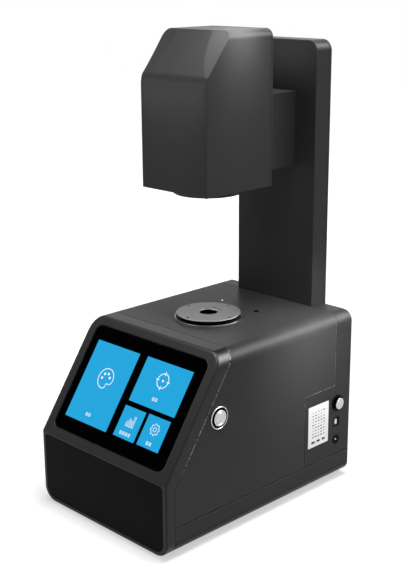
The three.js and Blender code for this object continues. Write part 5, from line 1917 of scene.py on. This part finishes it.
def make_head_underside():
    """The plate under the head, with the barrel's hole and the round ring about it."""
    low, high = node_box("head_bottom_plate")
    barrel_radius, barrel_gap = 25, 1
    neck = barrel_radius + barrel_gap
    plate = cut(
        block_between(low, high),
        prism(circle(neck + FIT_GAP, PORT.x, PORT.y), "z", low.z - OVERRUN, high.z + OVERRUN),
    )
    finished(
        eased(plate, 0.4, 2), "painted_head_bottom_plate", PAINT,
        ["head_bottom_plate"])
    ring_low, ring_high = node_box("aperture_ring")
    ring_radius = (ring_high.x - ring_low.x) / 2
    bore = barrel_radius - 6
    funnel_run, funnel_rise = 5, 3
    seat = low.z - SEAT_GAP
    turned_piece([
        (bore, ring_low.z + funnel_rise, 0.4),
        (bore + funnel_run, ring_low.z, 0.4),
        (ring_radius, ring_low.z, 1.2),
        (ring_radius, seat, 0),
        (neck, seat, 0),
        (neck, ring_high.z, 0),
        (bore, ring_high.z, 0),
    ], "z", PORT, "moulded_aperture_ring", FRAME_PLASTIC, ["aperture_ring"])


def make_lens(node, name):
    """A lens with two domed faces inside a flat rim."""
    low, high = node_box(node)
    radius = (high.x - low.x) / 2
    bulge = 3
    rim = 3.5
    steps = 12
    dome = [(radius - rim) * step / steps for step in range(steps + 1)]
    fall = [bulge * (1 - (step / steps) ** 2) for step in range(steps + 1)]
    lower = [(r, low.z + bulge - f) for r, f in zip(dome, fall)]
    upper = [(r, high.z - bulge + f) for r, f in zip(dome, fall)]
    profile = lower + [(radius, low.z + bulge), (radius, high.z - bulge)] + upper[::-1]
    finished(
        shifted(eased(turned(profile), 0), PORT.x, PORT.y, 0), name, LENS_GLASS, [node])


# Feet

def make_feet():
    seat = BASE_FOOT - SEAT_GAP
    dimple_radius, dimple_depth, rim_inset = 5, 0.6, 0.2
    for node in FOOT_NODES:
        low, high = node_box(node)
        radius = (high.x - low.x) / 2
        turned_piece([
            (0, low.z + dimple_depth, 0),
            (dimple_radius, low.z + dimple_depth, 0.2),
            (dimple_radius + dimple_depth, low.z, 0.2),
            (radius - rim_inset, low.z, 0.5),
            (radius, seat, 0.2),
            (FOOT_STUD_RADIUS, seat, 0),
            (FOOT_STUD_RADIUS, high.z, 0.4),
            (0, high.z, 0),
        ], "z", (low + high) / 2, f"rubber_{node}", RUBBER, [node],
            arc_steps=4, steps=SMALL_TURN_STEPS)


# Inner pieces keep their CAD meshes

INNER_FINISHES = {
    "display_module": SHEET_STEEL,
    "display_board": CIRCUIT_BOARD,
    "test_button_nut": BRASS,
    "test_button_switch": BLACK_PLASTIC,
    "power_button_nut": BRASS,
    "power_button_switch": BLACK_PLASTIC,
    "sphere_upper_half": WHITE_COAT,
    "sphere_lower_half": WHITE_COAT,
    "sphere_stand": SHEET_STEEL,
    "detector_housing": BLACK_PLASTIC,
    "detector_board": CIRCUIT_BOARD,
    "light_trap": BLACK_PLASTIC,
    "trap_shutter": WHITE_COAT,
    "shutter_motor": SHEET_STEEL,
    "shutter_motor_bracket": SHEET_STEEL,
    "main_board": CIRCUIT_BOARD,
    "socket_board": CIRCUIT_BOARD,
    "column_post": SHEET_STEEL,
    "column_foot_bracket": SHEET_STEEL,
    "lens_barrel": BLACK_PLASTIC,
    "lens_retainer": SHEET_STEEL,
    "aperture_stop": BLACK_PLASTIC,
    "condenser_lens": LENS_GLASS,
    "lamp_board": CIRCUIT_BOARD,
    "lamp_heatsink": SHEET_STEEL,
    "optics_bracket": SHEET_STEEL,
    "lamp_cable": BLACK_PLASTIC,
}


def finish_inner_pieces():
    for node, material in INNER_FINISHES.items():
        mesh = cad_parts[node].data
        mesh.materials.clear()
        mesh.materials.append(material)


bpy.context.scene.view_settings.view_transform = "Standard"
add_camera()
add_world()
add_lights()
add_floor()
make_base_pan()
make_main_shell()
make_rear_shell()
make_front_frame()
make_lower_panel()
make_screen_glass()
make_screen_display()
make_port_plate()
make_port_flange()
make_port_screws()
make_fixture_bush()
make_port_marks()
make_shell_screw()
make_test_button()
make_power_button()
make_usb_socket()
make_dc_jack()
make_rating_label()
make_column()
make_column_rear()
make_arm()
make_head()
make_head_underside()
make_lens("collimating_lens", "ground_collimating_lens")
make_feet()
finish_inner_pieces()
